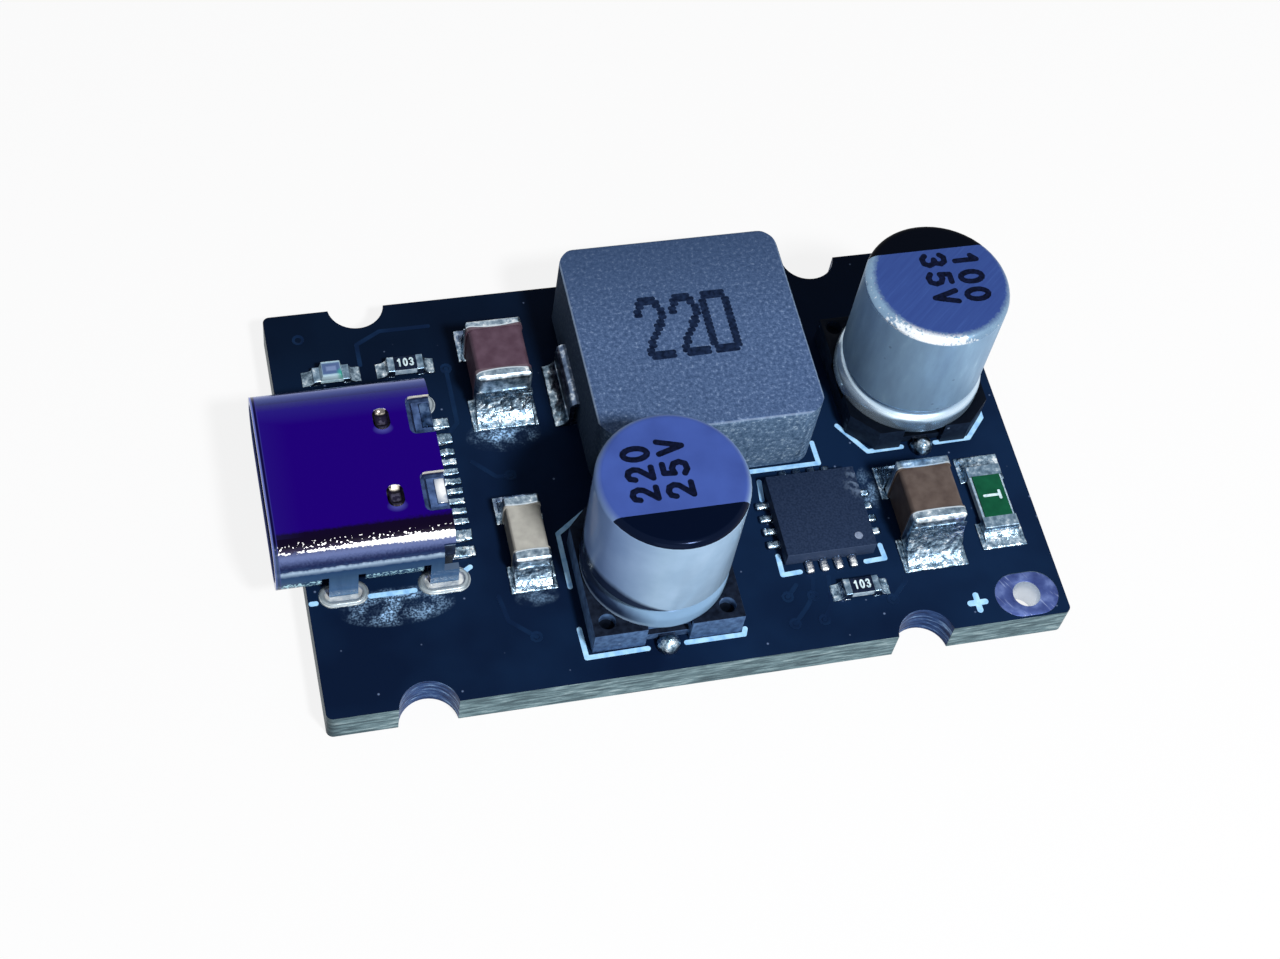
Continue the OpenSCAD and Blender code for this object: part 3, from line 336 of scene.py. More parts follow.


# Wire eyelets and leg slots: holes drilled through, plated with copper and levelled with tin.
# The tin on the pads carries a painted violet reflection with fine scratches, and the hole's wall is
# bright.
tin, place = start_finish("levelled_tin", "#4a5c94", rough=0.35, metal=1.0)
tin_clouds = put(tin, "TexNoise", Vector=place, Scale=per(0.6), Detail=4)
tint = put(tin, "ValToRGB", tin_clouds, stops=[(0.3, "#37457c"), (0.5, "#4a5b95"), (0.7, "#6f82bb")])
turn = put(tin, "VectorRotate", Vector=place, Angle=math.radians(60), rotation_type="Z_AXIS")
turn = put(tin, "VectorMath", turn, (0.12, 1, 1), operation="MULTIPLY")
scratch = put(tin, "TexNoise", Vector=turn, Scale=per(0.12), Detail=2)
tint = shade(tin, tint, "#a9b9e2", scratch, 0.62, 0.7, share=0.5)
up = facing(tin, "Z")
up = put(tin, "Math", up, operation="ABSOLUTE")
pad = put(tin, "Math", up, 0.5, operation="GREATER_THAN")
tint = put(tin, "MixRGB", pad, "#d4dce6", tint)
waves = put(tin, "Bump", Height=tin_clouds, Strength=0.4, Distance=0.04 * MM)
feed(tin, Base_Color=tint, Normal=waves)
for name in ("plus_eyelet", "minus_eyelet"):
    dress(name, tin, broken=0.03)
# Tin on the slots' rings: bright grey metal in soft clouds.
ring = mottled("tinned_ring", "#8fa1b0", rough=0.3, size=0.4, detail=3,
               stops=[(0.3, "#667683"), (0.6, "#c3d0d9")], metal=1.0)
dress("shell_slot_plating", ring)


# Receptacle's inside: a housing moulded from black plastic round two rows of stamped contacts
# and a steel plate. The blades are gold plated on the tongue and tinned at their tails.
# Moulded black plastic: half-gloss, and slate on its upper lugs.
lug, place = start_finish("polished_black_plastic", "#1b2334", rough=0.25, gloss=0.3)
flow = put(lug, "TexNoise", Vector=place, Scale=per(0.4), Detail=3)
high = put(lug, "SeparateXYZ", place, out="Z")
high = put(lug, "MapRange", high, 4.3 * MM, 4.55 * MM)
black = put(lug, "ValToRGB", flow, stops=[(0.3, "#0e1422"), (0.7, "#212b3f")])
upper_slate = put(lug, "ValToRGB", flow, stops=[(0.35, "#26385a"), (0.65, "#4d6592")])
tint = put(lug, "MixRGB", high, black, upper_slate)
feed(lug, Base_Color=tint)
dress("usb_housing", lug, broken=0.04)
# Stainless steel: plain grey with fine rolling lines along the tongue.
plate, place = start_finish("stamped_stainless_steel", "#a9adb8", rough=0.3, metal=1.0)
rolled = put(plate, "VectorMath", place, (0.1, 1, 1), operation="MULTIPLY")
lines = put(plate, "TexNoise", Vector=rolled, Scale=per(0.15), Detail=3)
tint = put(plate, "ValToRGB", lines, stops=[(0.3, "#8f939e"), (0.7, "#bfc3cc")])
feed(plate, Base_Color=tint)
dress("usb_mid_plate", plate)
# Plated strip: soft gold on the tongue and blotched tin on the tails.
strip, place = start_finish("plated_contact_strip", "#d8c27a", rough=0.25, metal=1.0)
back = put(strip, "SeparateXYZ", place, out="X")
tail = put(strip, "Math", back, -10.2 * MM, operation="GREATER_THAN")
wear = put(strip, "TexNoise", Vector=place, Scale=per(0.3), Detail=3)
gold = put(strip, "ValToRGB", wear, stops=[(0.3, "#c2a95c"), (0.7, "#e6d699")])
tinned = put(strip, "ValToRGB", wear, stops=[(0.35, "#4d5d6e"), (0.6, "#cfdbe6")])
tint = put(strip, "MixRGB", tail, gold, tinned)
feed(strip, Base_Color=tint)
for name in ("usb_upper_contacts", "usb_lower_contacts"):
    dress(name, strip, broken=0.02)


# Receptacle's shell: steel sheet folded to a flat tube, with pressed dimples and four legs.
# Its bright nickel carries painted reflections: deep indigo on the flat, and silver and black streaks on
# the bends.
shell_low, shell_high = (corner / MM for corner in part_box("usb_shell"))
MOUTH_X, SHELL_TOP = shell_low.x, shell_high.z
DIMPLE_X, PAIR = -12.0, (-1.9, 1.9)
nickel, place = start_finish("bright_nickel_on_steel", "#1f0276", rough=0.18, metal=1.0, gloss=0.05)
x, y, z = put(nickel, "SeparateXYZ", place, out=("X", "Y", "Z"))
nx, ny, nz = facing(nickel, ("X", "Y", "Z"))
grain = put(nickel, "TexNoise", Vector=place, Scale=per(0.1), Detail=2)
turned = put(nickel, "MapRange", ny, -1, 1)
jag = put(nickel, "MapRange", grain, 0.3, 0.7, -0.01, 0.01)
ragged = put(nickel, "Math", turned, jag, operation="ADD")
# Each face takes a painted reflection by the way it turns: indigo on the flat, bands of light and dark on
# the bends.
tint = put(nickel, "ValToRGB", ragged, stops=[
    (0.0, "#0e1738"), (0.065, "#101a42"), (0.09, "#293459"), (0.114, "#434f78"), (0.14, "#57648f"),
    (0.165, "#5a6690"), (0.225, "#2c2540"), (0.27, "#120c1e"), (0.43, "#130a28"), (0.47, "#1f0276"),
    (0.51, "#1f0276"), (0.55, "#281c6e"), (0.62, "#33356c"), (0.75, "#404f90"), (0.87, "#5468b0"),
    (0.91, "#a3b4ea"), (0.94, "#43558c"), (1.0, "#44587c")])
# The painted reflection on the flat turns bluer towards its back and its mouth.
bluer = put(nickel, "MapRange", y, 2.1 * MM, 3.1 * MM, 0, 0.3)
mouth = put(nickel, "MapRange", x, (MOUTH_X + 1.35) * MM, (MOUTH_X + 0.05) * MM, 0, 0.1)
bluer = put(nickel, "Math", bluer, mouth, operation="MAXIMUM")
flat = put(nickel, "Math", nz, 0.97, operation="GREATER_THAN")
bluer = put(nickel, "Math", bluer, flat, operation="MULTIPLY")
tint = put(nickel, "MixRGB", bluer, tint, "#3a3d92")
# A painted highlight, a white streak, runs along the front bend, solid at the rear and only glitter at the
# mouth.
rearward = put(nickel, "MapRange", x, (MOUTH_X + 0.05) * MM, (MOUTH_X + 6.05) * MM)
off = put(nickel, "Math", ragged, 0.207, operation="SUBTRACT")
off = put(nickel, "Math", off, operation="ABSOLUTE")
half = put(nickel, "MapRange", rearward, 0.2, 1, 0.011, 0.032)
off = put(nickel, "Math", off, half, operation="DIVIDE")
band = put(nickel, "MapRange", off, 1.2, 0.8)
spark = put(nickel, "TexNoise", Vector=place, Scale=per(0.11), Detail=1)
cover = put(nickel, "MapRange", rearward, 0, 0.8, 0.55, 0.22)
lit = put(nickel, "Math", spark, cover, operation="SUBTRACT")
lit = put(nickel, "MapRange", lit, -0.03, 0.03)
flash = put(nickel, "Math", band, lit, operation="MULTIPLY")
stray = put(nickel, "Math", turned, 0.26, 0.06, operation="COMPARE")
speck = put(nickel, "Math", spark, 0.66, operation="GREATER_THAN")
speck = put(nickel, "Math", stray, speck, operation="MULTIPLY")
flash = put(nickel, "Math", flash, speck, operation="MAXIMUM")
tint = put(nickel, "MixRGB", flash, tint, "#ffffff")
# The front wall and the legs are dull, with a painted highlight as a pale lip where the bend ends.
front = put(nickel, "MapRange", ny, -0.85, -0.885)
drawn = put(nickel, "VectorMath", place, (1, 1, 0.15), operation="MULTIPLY")
drawn = put(nickel, "TexNoise", Vector=drawn, Scale=per(0.2), Detail=3)
drawn = put(nickel, "MapRange", drawn, 0.3, 0.7, -0.008, 0.008)
height = put(nickel, "MapRange", z, BOARD_TOP * MM, (SHELL_TOP + 0.04) * MM)
height = put(nickel, "Math", height, drawn, operation="ADD")
wall = put(nickel, "ValToRGB", height, stops=[
    (0.0, "#5c7c9c"), (0.2, "#43648c"), (0.42, "#3a5676"), (0.56, "#2b4566"), (0.61, "#223a5c"),
    (0.64, "#71869e"), (0.67, "#9db3c9"), (0.69, "#8398b2"), (0.705, "#1a2448"), (0.8, "#101a42"),
    (0.93, "#221f3a"), (0.95, "#e9e6d8")])
wall = shade(nickel, wall, "#2b4468", drawn, -0.008, 0.008, share=0.4)
tint = put(nickel, "MixRGB", front, tint, wall)
# Painted glints lie as glitter along the bend under the front wall.
lower = put(nickel, "MapRange", nz, -0.03, -0.1)
bright = put(nickel, "Math", spark, 0.54, operation="GREATER_THAN")
glitter = put(nickel, "MixRGB", bright, "#2f4a66", "#a9d6e6")
tint = put(nickel, "MixRGB", lower, tint, glitter)
# Below the flat, upward faces are cut edges and the inner floor, in plain steel.
low = put(nickel, "Math", z, 4.3 * MM, operation="LESS_THAN")
level = put(nickel, "Math", nz, 0.9, operation="GREATER_THAN")
plain = put(nickel, "Math", low, level, operation="MULTIPLY")
inner = put(nickel, "Math", x, board_low.x * MM, operation="GREATER_THAN")
steel = put(nickel, "MixRGB", inner, "#4d5a9a", "#4a5c74")
tint = put(nickel, "MixRGB", plain, tint, steel)
# The dimples carry painted shade with a painted highlight as a warm flash on the far wall, and a painted
# pale glow in front of each.
dark = put(nickel, "ValToRGB", turned, stops=[
    (0.25, "#fff6e2"), (0.33, "#cfc8bc"), (0.38, "#2a2830"), (0.47, "#15131c"), (0.5, "#56546a"),
    (0.53, "#15131c"), (0.6, "#0c0a16"), (0.74, "#4a4a66"), (0.82, "#c6c8dc")])
across = put(nickel, "Math", nx, operation="ABSOLUTE")
dark = shade(nickel, dark, "#0a0812", across, 0.3, 0.5)
broken = put(nickel, "TexNoise", Vector=place, Scale=per(0.25), Detail=2)
dark = shade(nickel, dark, "#17132a", broken, 0.5, 0.42, share=0.85)
sunk = put(nickel, "Math", z, (SHELL_TOP - 0.015) * MM, operation="LESS_THAN")
for middle in PAIR:
    glow = near(nickel, place, (DIMPLE_X, middle - 0.5, SHELL_TOP), (0.45, 0.3, 1))
    glow = put(nickel, "Math", glow, 0.4, operation="MULTIPLY")
    tint = put(nickel, "MixRGB", glow, tint, "#6a74c4")
    pressed = near(nickel, place, (DIMPLE_X, middle, SHELL_TOP), (0.8, 0.9, 1))
    pressed = put(nickel, "Math", pressed, 0.01, operation="GREATER_THAN")
    pressed = put(nickel, "Math", pressed, sunk, operation="MULTIPLY")
    tint = put(nickel, "MixRGB", pressed, tint, dark)
# The edge of the mouth is rolled over, and its painted reflection shows as slate between two pale lines.
rolled = put(nickel, "MapRange", x, (MOUTH_X - 0.01) * MM, (MOUTH_X + 0.23) * MM)
edge = put(nickel, "MapRange", rolled, 1, 0.85, 0, 0.9)
rolled = put(nickel, "ValToRGB", rolled, stops=[
    (0.0, "#6f7cc4"), (0.25, "#6f7cc4"), (0.4, "#0d0b30"), (0.72, "#0d0b30"), (0.88, "#3a3a94")])
rolled = shade(nickel, rolled, "#3a4c6c", ny, -0.3, -0.7, share=0.7)
tint = put(nickel, "MixRGB", edge, tint, rolled)
# Faces turned to the sides carry a painted periwinkle reflection.
rim = put(nickel, "Math", nx, operation="ABSOLUTE")
tint = shade(nickel, tint, "#5b6aa8", rim, 0.75, 0.95)
# Between the glints the front bend is dull, so the lamp flashes only in the streak.
dim = put(nickel, "Math", turned, 0.175, 0.11, operation="COMPARE")
dim = put(nickel, "Math", dim, flash, operation="SUBTRACT", use_clamp=True)
mirror = put(nickel, "Math", 1, front, operation="SUBTRACT")
mirror = put(nickel, "Math", mirror, plain, operation="SUBTRACT")
mirror = put(nickel, "Math", mirror, dim, operation="SUBTRACT", use_clamp=True)
feed(nickel, Base_Color=tint, Metallic=mirror)
dress("usb_shell", nickel, sharp=40, even=True)
# The latches lie in the rear windows, in line with the dimples.
LATCH_X, LATCH_Z = -10.13, SHELL_TOP - 0.12
tabs = []
for middle in PAIR:
    bpy.ops.object.select_all(action="DESELECT")
    bpy.ops.mesh.primitive_cube_add(size=MM, location=Vector((LATCH_X, middle, LATCH_Z)) * MM,
                                    scale=(0.44, 1.2, 0.12))
    bpy.ops.object.transform_apply(location=True, scale=True)
    pick(bpy.context.object, lambda vertex: vertex.co.z > LATCH_Z * MM)
    bpy.ops.mesh.bevel(offset=0.05 * MM, segments=3)
    bpy.ops.object.mode_set(mode="OBJECT")
    tabs.append(bpy.context.object)
# Latch steel: polished, with a painted highlight flashing white on the front one and painted shade on the
# rear one.
latch, place = start_finish("bright_latch_steel", "#e6ebf4", rough=0.2, metal=1.0)
y = put(latch, "SeparateXYZ", place, out="Y")
shine = put(latch, "TexNoise", Vector=place, Scale=per(0.4), Detail=3)
front = put(latch, "ValToRGB", shine, stops=[(0.3, "#c3cede"), (0.5, "#fafcff")])
rear = put(latch, "ValToRGB", shine, stops=[(0.36, "#101c30"), (0.5, "#2c4266"), (0.65, "#5a7398")])
behind = put(latch, "Math", y, 0.0, operation="GREATER_THAN")
patch = near(latch, place, (LATCH_X + 0.08, PAIR[0] + 0.05, SHELL_TOP - 0.06), (0.42, 0.85, 1))
front = put(latch, "MixRGB", patch, "#5f7898", front)
tint = put(latch, "MixRGB", behind, front, rear)
feed(latch, Base_Color=tint)
settle(tabs, "usb_window_latches", latch)


# Receptacle's joints: solder paste that melted round the tails and filled the leg slots.
# It froze in bright lumps that climb the metal and draw in at the edges of each land.
def melt(name, finish, cell, swell, ripple, pulls=3):
    """A reflowed copy of a solder solid: merged, remeshed, rounded and rippled in millimetres."""
    bpy.ops.object.select_all(action="DESELECT")
    piece = frame["nodes"][name].copy()
    piece.data = frame["nodes"][name].data.copy()
    piece.parent = None
    bpy.context.collection.objects.link(piece)
    piece.select_set(True)
    bpy.context.view_layer.objects.active = piece
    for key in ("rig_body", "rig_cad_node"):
        del piece[key]
    bpy.ops.mesh.customdata_custom_splitnormals_clear()
    bpy.ops.object.mode_set(mode="EDIT")
    bpy.ops.mesh.select_all(action="SELECT")
    bpy.ops.mesh.remove_doubles(threshold=0.001 * MM)
    bpy.ops.object.mode_set(mode="OBJECT")
    cells = piece.modifiers.new("cells", "REMESH")
    cells.mode = "VOXEL"
    cells.voxel_size = cell * MM
    tension = piece.modifiers.new("tension", "SMOOTH")
    tension.iterations = pulls
    waves = bpy.data.textures.new(name + "_ripple", "CLOUDS")
    waves.noise_scale = 0.35 * MM
    lumps = piece.modifiers.new("lumps", "DISPLACE")
    lumps.texture = waves
    lumps.texture_coords = "LOCAL"
    lumps.strength = ripple * MM
    lumps.mid_level = 0.5 - swell / ripple
    for step in ("cells", "tension", "lumps"):
        bpy.ops.object.modifier_apply(modifier=step)
    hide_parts(name)
    return settle([piece], name.replace("solder", "joint"), finish, sharp=60)


# Reflowed solder: bright silver, crinkled like foil and dark in its folds.
solder, place = start_finish("reflowed_solder", "#93a5b3", rough=0.24, metal=1.0)
crinkle = put(solder, "TexNoise", Vector=place, Scale=per(0.28), Detail=5, Roughness=0.65)
tint = put(solder, "ValToRGB", crinkle, stops=[
    (0.33, "#374a5c"), (0.45, "#6b8397"), (0.55, "#9fb6c8"), (0.67, "#f4fbff")])
# Behind the tall pieces it carries painted shade, and before the controller a painted highlight.
for centre, reach, painted_tone, share in [((6.1, -1.5, BOARD_TOP), (2.8, 0.5, 0.8), "#26344c", 0.85),
                                     ((-6.3, 7.7, BOARD_TOP), (2.2, 0.9, 0.8), "#464a72", 0.75),
                                     ((-6.63, -1.1, BOARD_TOP), (1.6, 0.7, 0.8), "#464a72", 0.75),
                                     ((6.1, -6.25, BOARD_TOP), (2.8, 0.6, 0.8), "#ffffff", 0.8)]:
    there = near(solder, place, centre, reach)
    there = put(solder, "Math", there, share, operation="MULTIPLY")
    tint = put(solder, "MixRGB", there, tint, painted_tone)
skin = put(solder, "Bump", Height=crinkle, Strength=0.8, Distance=0.06 * MM)
dull = put(solder, "MapRange", crinkle, 0.3, 0.7, 0.36, 0.14)
feed(solder, Base_Color=tint, Roughness=dull, Normal=skin)
# Small joints got little solder and froze duller.
thin, place = start_finish("thin_solder", "#7c8c9a", rough=0.28, metal=1.0)
crinkle = put(thin, "TexNoise", Vector=place, Scale=per(0.3), Detail=4, Roughness=0.6)
tint = put(thin, "ValToRGB", crinkle, stops=[
    (0.33, "#2c3a48"), (0.46, "#5d7080"), (0.57, "#8fa2b1"), (0.68, "#e6eef2")])
skin = put(thin, "Bump", Height=crinkle, Strength=0.6, Distance=0.05 * MM)
feed(thin, Base_Color=tint, Normal=skin)
melt("usb_tail_solder", solder, cell=0.02, swell=-0.02, ripple=0.1, pulls=9)
# Round a leg the solder is smooth and grey, with a painted highlight low down where it thins out on its
# land.
wicked, place = start_finish("wicked_solder", "#a9b4b6", rough=0.28, metal=0.5, gloss=0.2)
flow = put(wicked, "TexNoise", Vector=place, Scale=per(0.5), Detail=3)
flow = put(wicked, "MapRange", flow, 0.3, 0.7, -0.25, 0.25)
high = put(wicked, "SeparateXYZ", place, out="Z")
high = put(wicked, "MapRange", high, (BOARD_TOP - 0.02) * MM, (BOARD_TOP + 0.1) * MM)
high = put(wicked, "Math", high, flow, operation="ADD")
tint = put(wicked, "ValToRGB", high, stops=[
    (0.15, "#fdfcf4"), (0.4, "#d3d9da"), (0.62, "#8d9aa3"), (0.95, "#9aa6ad")])
feed(wicked, Base_Color=tint)
melt("usb_leg_solder", wicked, cell=0.027, swell=0.0, ripple=0.015)


# Controller: a square chip moulded in black epoxy round a stamped lead frame.
# Sixteen flat leads end flush with its sides, each on a small land of bright solder.
# Chip epoxy: matt blue-black with a grain of filler, drawn coarse enough to show.
epoxy, place = start_finish("moulded_chip_epoxy", "#22304a", rough=0.6, gloss=0.06)
filler = put(epoxy, "TexNoise", Vector=place, Scale=per(0.09), Detail=3)
tint = put(epoxy, "ValToRGB", filler, stops=[(0.35, "#1a263c"), (0.65, "#26334b")])
# Flux crept over the edge towards the input ceramic and dried there.
film = put(epoxy, "TexNoise", Vector=place, Scale=per(0.22), Detail=4)
film = put(epoxy, "MapRange", film, 0.45, 0.65, 0, 0.5)
crept = near(epoxy, place, (8.15, -2.75, 2.4), (0.75, 1.0, 1))
crept = put(epoxy, "Math", crept, film, operation="MULTIPLY")
tint = put(epoxy, "MixRGB", crept, tint, "#8398b4")
# The moulded edges carry a painted highlight, and painted light makes the front a shade paler than the top.
ny, nz = facing(epoxy, ("Y", "Z"))
tint = shade(epoxy, tint, "#3d4c68", ny, -0.5, -0.9, share=0.45)
edge = put(epoxy, "Math", nz, 0.6, 0.3, operation="COMPARE")
edge = put(epoxy, "Math", edge, 0.45, operation="MULTIPLY")
tint = put(epoxy, "MixRGB", edge, tint, "#5a6880")
pores = put(epoxy, "Bump", Height=filler, Strength=0.35, Distance=0.02 * MM)
feed(epoxy, Base_Color=tint, Normal=pores)
dress("controller_body", epoxy, broken=0.04)
# Tinned copper: dull blue-grey with bright patches.
wire = mottled("tinned_copper_strip", "#8c9bab", rough=0.3, size=0.25, detail=4,
               stops=[(0.3, "#3b4a62"), (0.55, "#6a7c96"), (0.7, "#c3cfdc")], metal=1.0)
dress("controller_leadframe", wire)
melt("controller_solder", solder, cell=0.018, swell=0.03, ripple=0.05, pulls=6)
# Lasered mark: the epoxy's skin burnt to a pale matt grey.
lasered = mottled("lasered_mark", "#6d7a92", rough=0.7, size=0.12, detail=2,
                  stops=[(0.3, "#56627a"), (0.7, "#8d9ab2")], gloss=0.1)
CHIP_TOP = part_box("controller_body")[1].z / MM
dot = bar((7.47, -5.38), (7.47, -5.38), 0.36, CHIP_TOP - 0.02, CHIP_TOP + 0.008)
dish(dot, (0.05, -0.004))
settle([dot], "controller_dot", lasered)


# Inductor: iron powder pressed round a copper coil whose wire ends are folded into straps.
# The grey-blue body is rough and speckled, and its value is burnt in as rows of small squares.
# Pressed iron powder: matt, with grit that shows as pale and dark specks.
iron, place = start_finish("pressed_iron_powder", "#44597b", rough=0.8, gloss=0.1)
grit = put(iron, "TexNoise", Vector=place, Scale=per(0.17), Detail=4, Roughness=0.75)
top = put(iron, "ValToRGB", grit, stops=[
    (0.3, "#2f4261"), (0.46, "#41567a"), (0.57, "#4f658a"), (0.72, "#8397b6")])
wall = put(iron, "ValToRGB", grit, stops=[
    (0.3, "#32465f"), (0.46, "#48607c"), (0.57, "#5d7692"), (0.72, "#a9bdcf")])
nx, up = facing(iron, ("X", "Z"))
# Painted shade darkens the left wall, and the top towards its back.
wall = shade(iron, wall, "#131d2e", nx, -0.5, -0.9, share=0.85)
back = put(iron, "SeparateXYZ", place, out="Y")
top = shade(iron, top, "#2b3d5b", back, 4 * MM, 9 * MM, share=0.7)
lid = put(iron, "MapRange", up, 0.6, 0.9)
tint = put(iron, "MixRGB", lid, wall, top)
# The pressed top edges are lighter.
edge = put(iron, "Math", up, 0.72, 0.2, operation="COMPARE")
edge = put(iron, "Math", edge, 0.4, operation="MULTIPLY")
tint = put(iron, "MixRGB", edge, tint, "#92a4bd")
pits = put(iron, "Bump", Height=grit, Strength=0.6, Distance=0.04 * MM)
feed(iron, Base_Color=tint, Normal=pits)
dress("inductor_body", iron)
# Enamelled copper: glossy red-brown in rows of turns.
enamel, place = start_finish("enamelled_copper", "#b06a3a", rough=0.3, metal=1.0)
turns = put(enamel, "TexWave", Vector=place, Scale=per(1.2), bands_direction="Z")
tint = put(enamel, "ValToRGB", turns, stops=[(0.2, "#8f4f28"), (0.8, "#c07a48")])
feed(enamel, Base_Color=tint)
dress("inductor_coil", enamel)
dress("inductor_terminals", wire)
melt("inductor_solder", thin, cell=0.035, swell=0.01, ripple=0.08)
# Burnt mark: soot on iron, matt and nearly black.
burnt = mottled("burnt_iron_mark", "#101a30", rough=0.8, size=0.2, detail=3,
                stops=[(0.35, "#0b1428"), (0.7, "#1d2b47")], gloss=0.05)
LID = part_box("inductor_body")[1].z / MM
DIGITS = {
    "2": ["..#####..", ".#######.", ".##...##.", "##.....##", "##.....##", ".......##", "......##.",
          ".....###.", ".....##..", "....##...", "...##....", "..##.....", "..##.....", ".##......",
          ".########", "..#######"],
    "0": [".#######."] * 2 + ["##.....##"] * 12 + [".########", ".#######."],
}
PITCH_X, PITCH_Y = 0.147, 0.207
squares = []
for digit, left in zip("220", (-0.47, 1.08, 2.5)):
    for row, dots in enumerate(DIGITS[digit]):
        y = 5.9 - row * PITCH_Y
        for run in re.finditer("#+", dots):
            start, end = left + (run.start() + 0.5) * PITCH_X, left + (run.end() - 0.5) * PITCH_X
            squares.append(bar((start, y), (end, y), 1.12 * PITCH_Y, LID - 0.03,
                               LID + 0.006 + 0.002 * (row % 3)))
settle(squares, "inductor_value", burnt)


# Ceramic capacitors: fired blocks of brown or beige ceramic, dipped in metal at both ends.
# Solder climbed the ends in the oven and left a flat bright land in front of each.
def ceramic(name, dark, light):
    """The fired ceramic of one capacitor, fine and even."""
    finish, place = start_finish(name + "_fired_ceramic", light, rough=0.5, gloss=0.12)
    fired = put(finish, "TexNoise", Vector=place, Scale=per(0.5), Detail=4)
    tint = put(finish, "ValToRGB", fired, stops=[(0.35, dark), (0.65, light)])
    # Its left side carries painted shade.
    tint = shade(finish, tint, "#12131c", facing(finish, "X"), -0.4, -0.9, share=0.5)
    feed(finish, Base_Color=tint)
    return finish


def dipped(name, dark, light, reach, side_reach):
    """The dipped metal of one capacitor's ends, reaching furthest in the middle of each face."""
    finish, place = start_finish(name + "_dipped_end", "#6f8496", rough=0.3, metal=1.0)
    low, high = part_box(name + "_ends")
    middle, half = (low + high) / 2, (high - low) / 2
    crinkle = put(finish, "TexNoise", Vector=place, Scale=per(0.3), Detail=5, Roughness=0.6)
    metal = put(finish, "ValToRGB", crinkle, stops=[
        (0.3, "#4c5d6e"), (0.46, "#788c9d"), (0.58, "#a3b5c3"), (0.68, "#f0f5f8")])
    fired = put(finish, "TexNoise", Vector=place, Scale=per(0.5), Detail=4)
    fired = put(finish, "ValToRGB", fired, stops=[(0.35, dark), (0.65, light)])
    at = put(finish, "VectorMath", place, middle, operation="SUBTRACT")
    at = put(finish, "VectorMath", at, operation="ABSOLUTE")
    ax, ay = put(finish, "SeparateXYZ", at, out=("X", "Y"))
    bow = put(finish, "Math", ax, 1 / half.x, operation="MULTIPLY")
    bow = put(finish, "Math", bow, 2, operation="POWER")
    start = put(finish, "MapRange", bow, 0, 1, half.y - reach * MM, half.y - side_reach * MM)
    past = put(finish, "Math", start, ay, operation="SUBTRACT")
    bare = put(finish, "MapRange", past, -0.01 * MM, 0.01 * MM)
    # The metal ends in a thin bright lip.
    lip = put(finish, "Math", past, -0.035 * MM, 0.025 * MM, operation="COMPARE")
    metal = put(finish, "MixRGB", lip, metal, "#c9d6e0")
    # Its end face is wetted with solder, rough and bright.
    out = facing(finish, "Y")
    out = put(finish, "Math", out, operation="ABSOLUTE")
    out = put(finish, "MapRange", out, 0.5, 0.8)
    wet = put(finish, "ValToRGB", crinkle, stops=[
        (0.35, "#62707c"), (0.48, "#a5b5c1"), (0.58, "#dde6ec"), (0.66, "#ffffff")])
    metal = put(finish, "MixRGB", out, metal, wet)
    tint = put(finish, "MixRGB", bare, metal, fired)
    plated = put(finish, "Math", 1, bare, operation="SUBTRACT")
    skin = put(finish, "Bump", Height=crinkle, Strength=0.5, Distance=0.05 * MM)
    feed(finish, Base_Color=tint, Metallic=plated, Normal=skin)
    return finish


for name, dark, light, reach, side_reach in [("output_ceramic", "#4a3743", "#584552", 0.5, 0.36),
                                             ("input_ceramic", "#4d423d", "#5c514b", 0.54, 0.48),
                                             ("bypass_ceramic", "#9b9a94", "#adaca5", 0.53, 0.46)]:
    dress(name + "_body", ceramic(name, dark, light))
    dress(name + "_ends", dipped(name, dark, light, reach, side_reach))
    melt(name + "_solder", solder, cell=0.028, swell=0.02, ripple=0.1)


# Fuse: a white alumina block with a green glaze on top, metal ends and a plain white number.
# The number tells the rating and was printed on the glaze before firing.
PEN = {
    "0": [(0.5 + 0.5 * math.cos(math.pi * turn / 8), 0.5 + 0.5 * math.sin(math.pi * turn / 8))
          for turn in range(17)],
    "1": [(0.18, 0.78), (0.6, 1), (0.6, 0)],
    "2": [(0.04, 0.74), (0.15, 0.93), (0.45, 1), (0.8, 0.93), (0.95, 0.72), (0.86, 0.52), (0.03, 0),
          (1, 0)],
    "3": [(0.05, 0.85), (0.3, 1), (0.7, 0.98), (0.92, 0.8), (0.8, 0.58), (0.45, 0.53), (0.8, 0.47),
          (0.97, 0.25), (0.75, 0.03), (0.3, 0), (0.02, 0.15)],
    "5": [(0.9, 1), (0.18, 1), (0.12, 0.56), (0.5, 0.63), (0.86, 0.52), (0.98, 0.28), (0.78, 0.04),
          (0.35, 0), (0.02, 0.13)],
    "V": [(0, 1), (0.5, 0), (1, 1)],
    "|": [(0.5, 1), (0.5, 0), (0, 0), (1, 0)],
}
LETTER_GAP = 0.17


def write(words, corner, right, up, weight, flat):
    """Characters drawn with a round pen in a box: its corner and its right and up edges, in millimetres."""
    corner, right, up = Vector(corner), Vector(right), Vector(up)
    step = right / (len(words) - LETTER_GAP)
    wide, tall = step * (1 - LETTER_GAP), up
    wide_pen, tall_pen = wide.normalized() * weight / 2, tall.normalized() * weight / 2
    # Strokes end at four heights, so that where they cross no two tops coincide.
    drawn = []
    for i, letter in enumerate(words):
        start = corner + step * i + wide_pen + tall_pen
        points = [start + (wide - 2 * wide_pen) * u + (tall - 2 * tall_pen) * v for u, v in PEN[letter]]
        for a, b in zip(points, points[1:]):
            drawn.append(bar(a, b, weight, flat - 0.01, flat + 0.004 + 0.001 * (len(drawn) % 4)))
    return drawn


# Fired alumina: bluish white and slightly grainy.
alumina = mottled("fired_alumina", "#9fb4c6", rough=0.5, size=0.2, detail=3,
                  stops=[(0.3, "#7790a6"), (0.7, "#b5c8d6")], gloss=0.2)
# Green glaze: deep, even and glassy.
green = mottled("green_glaze", "#12543f", rough=0.3, size=0.5, detail=3,
                stops=[(0.3, "#0a422b"), (0.7, "#115236")], gloss=0.12)
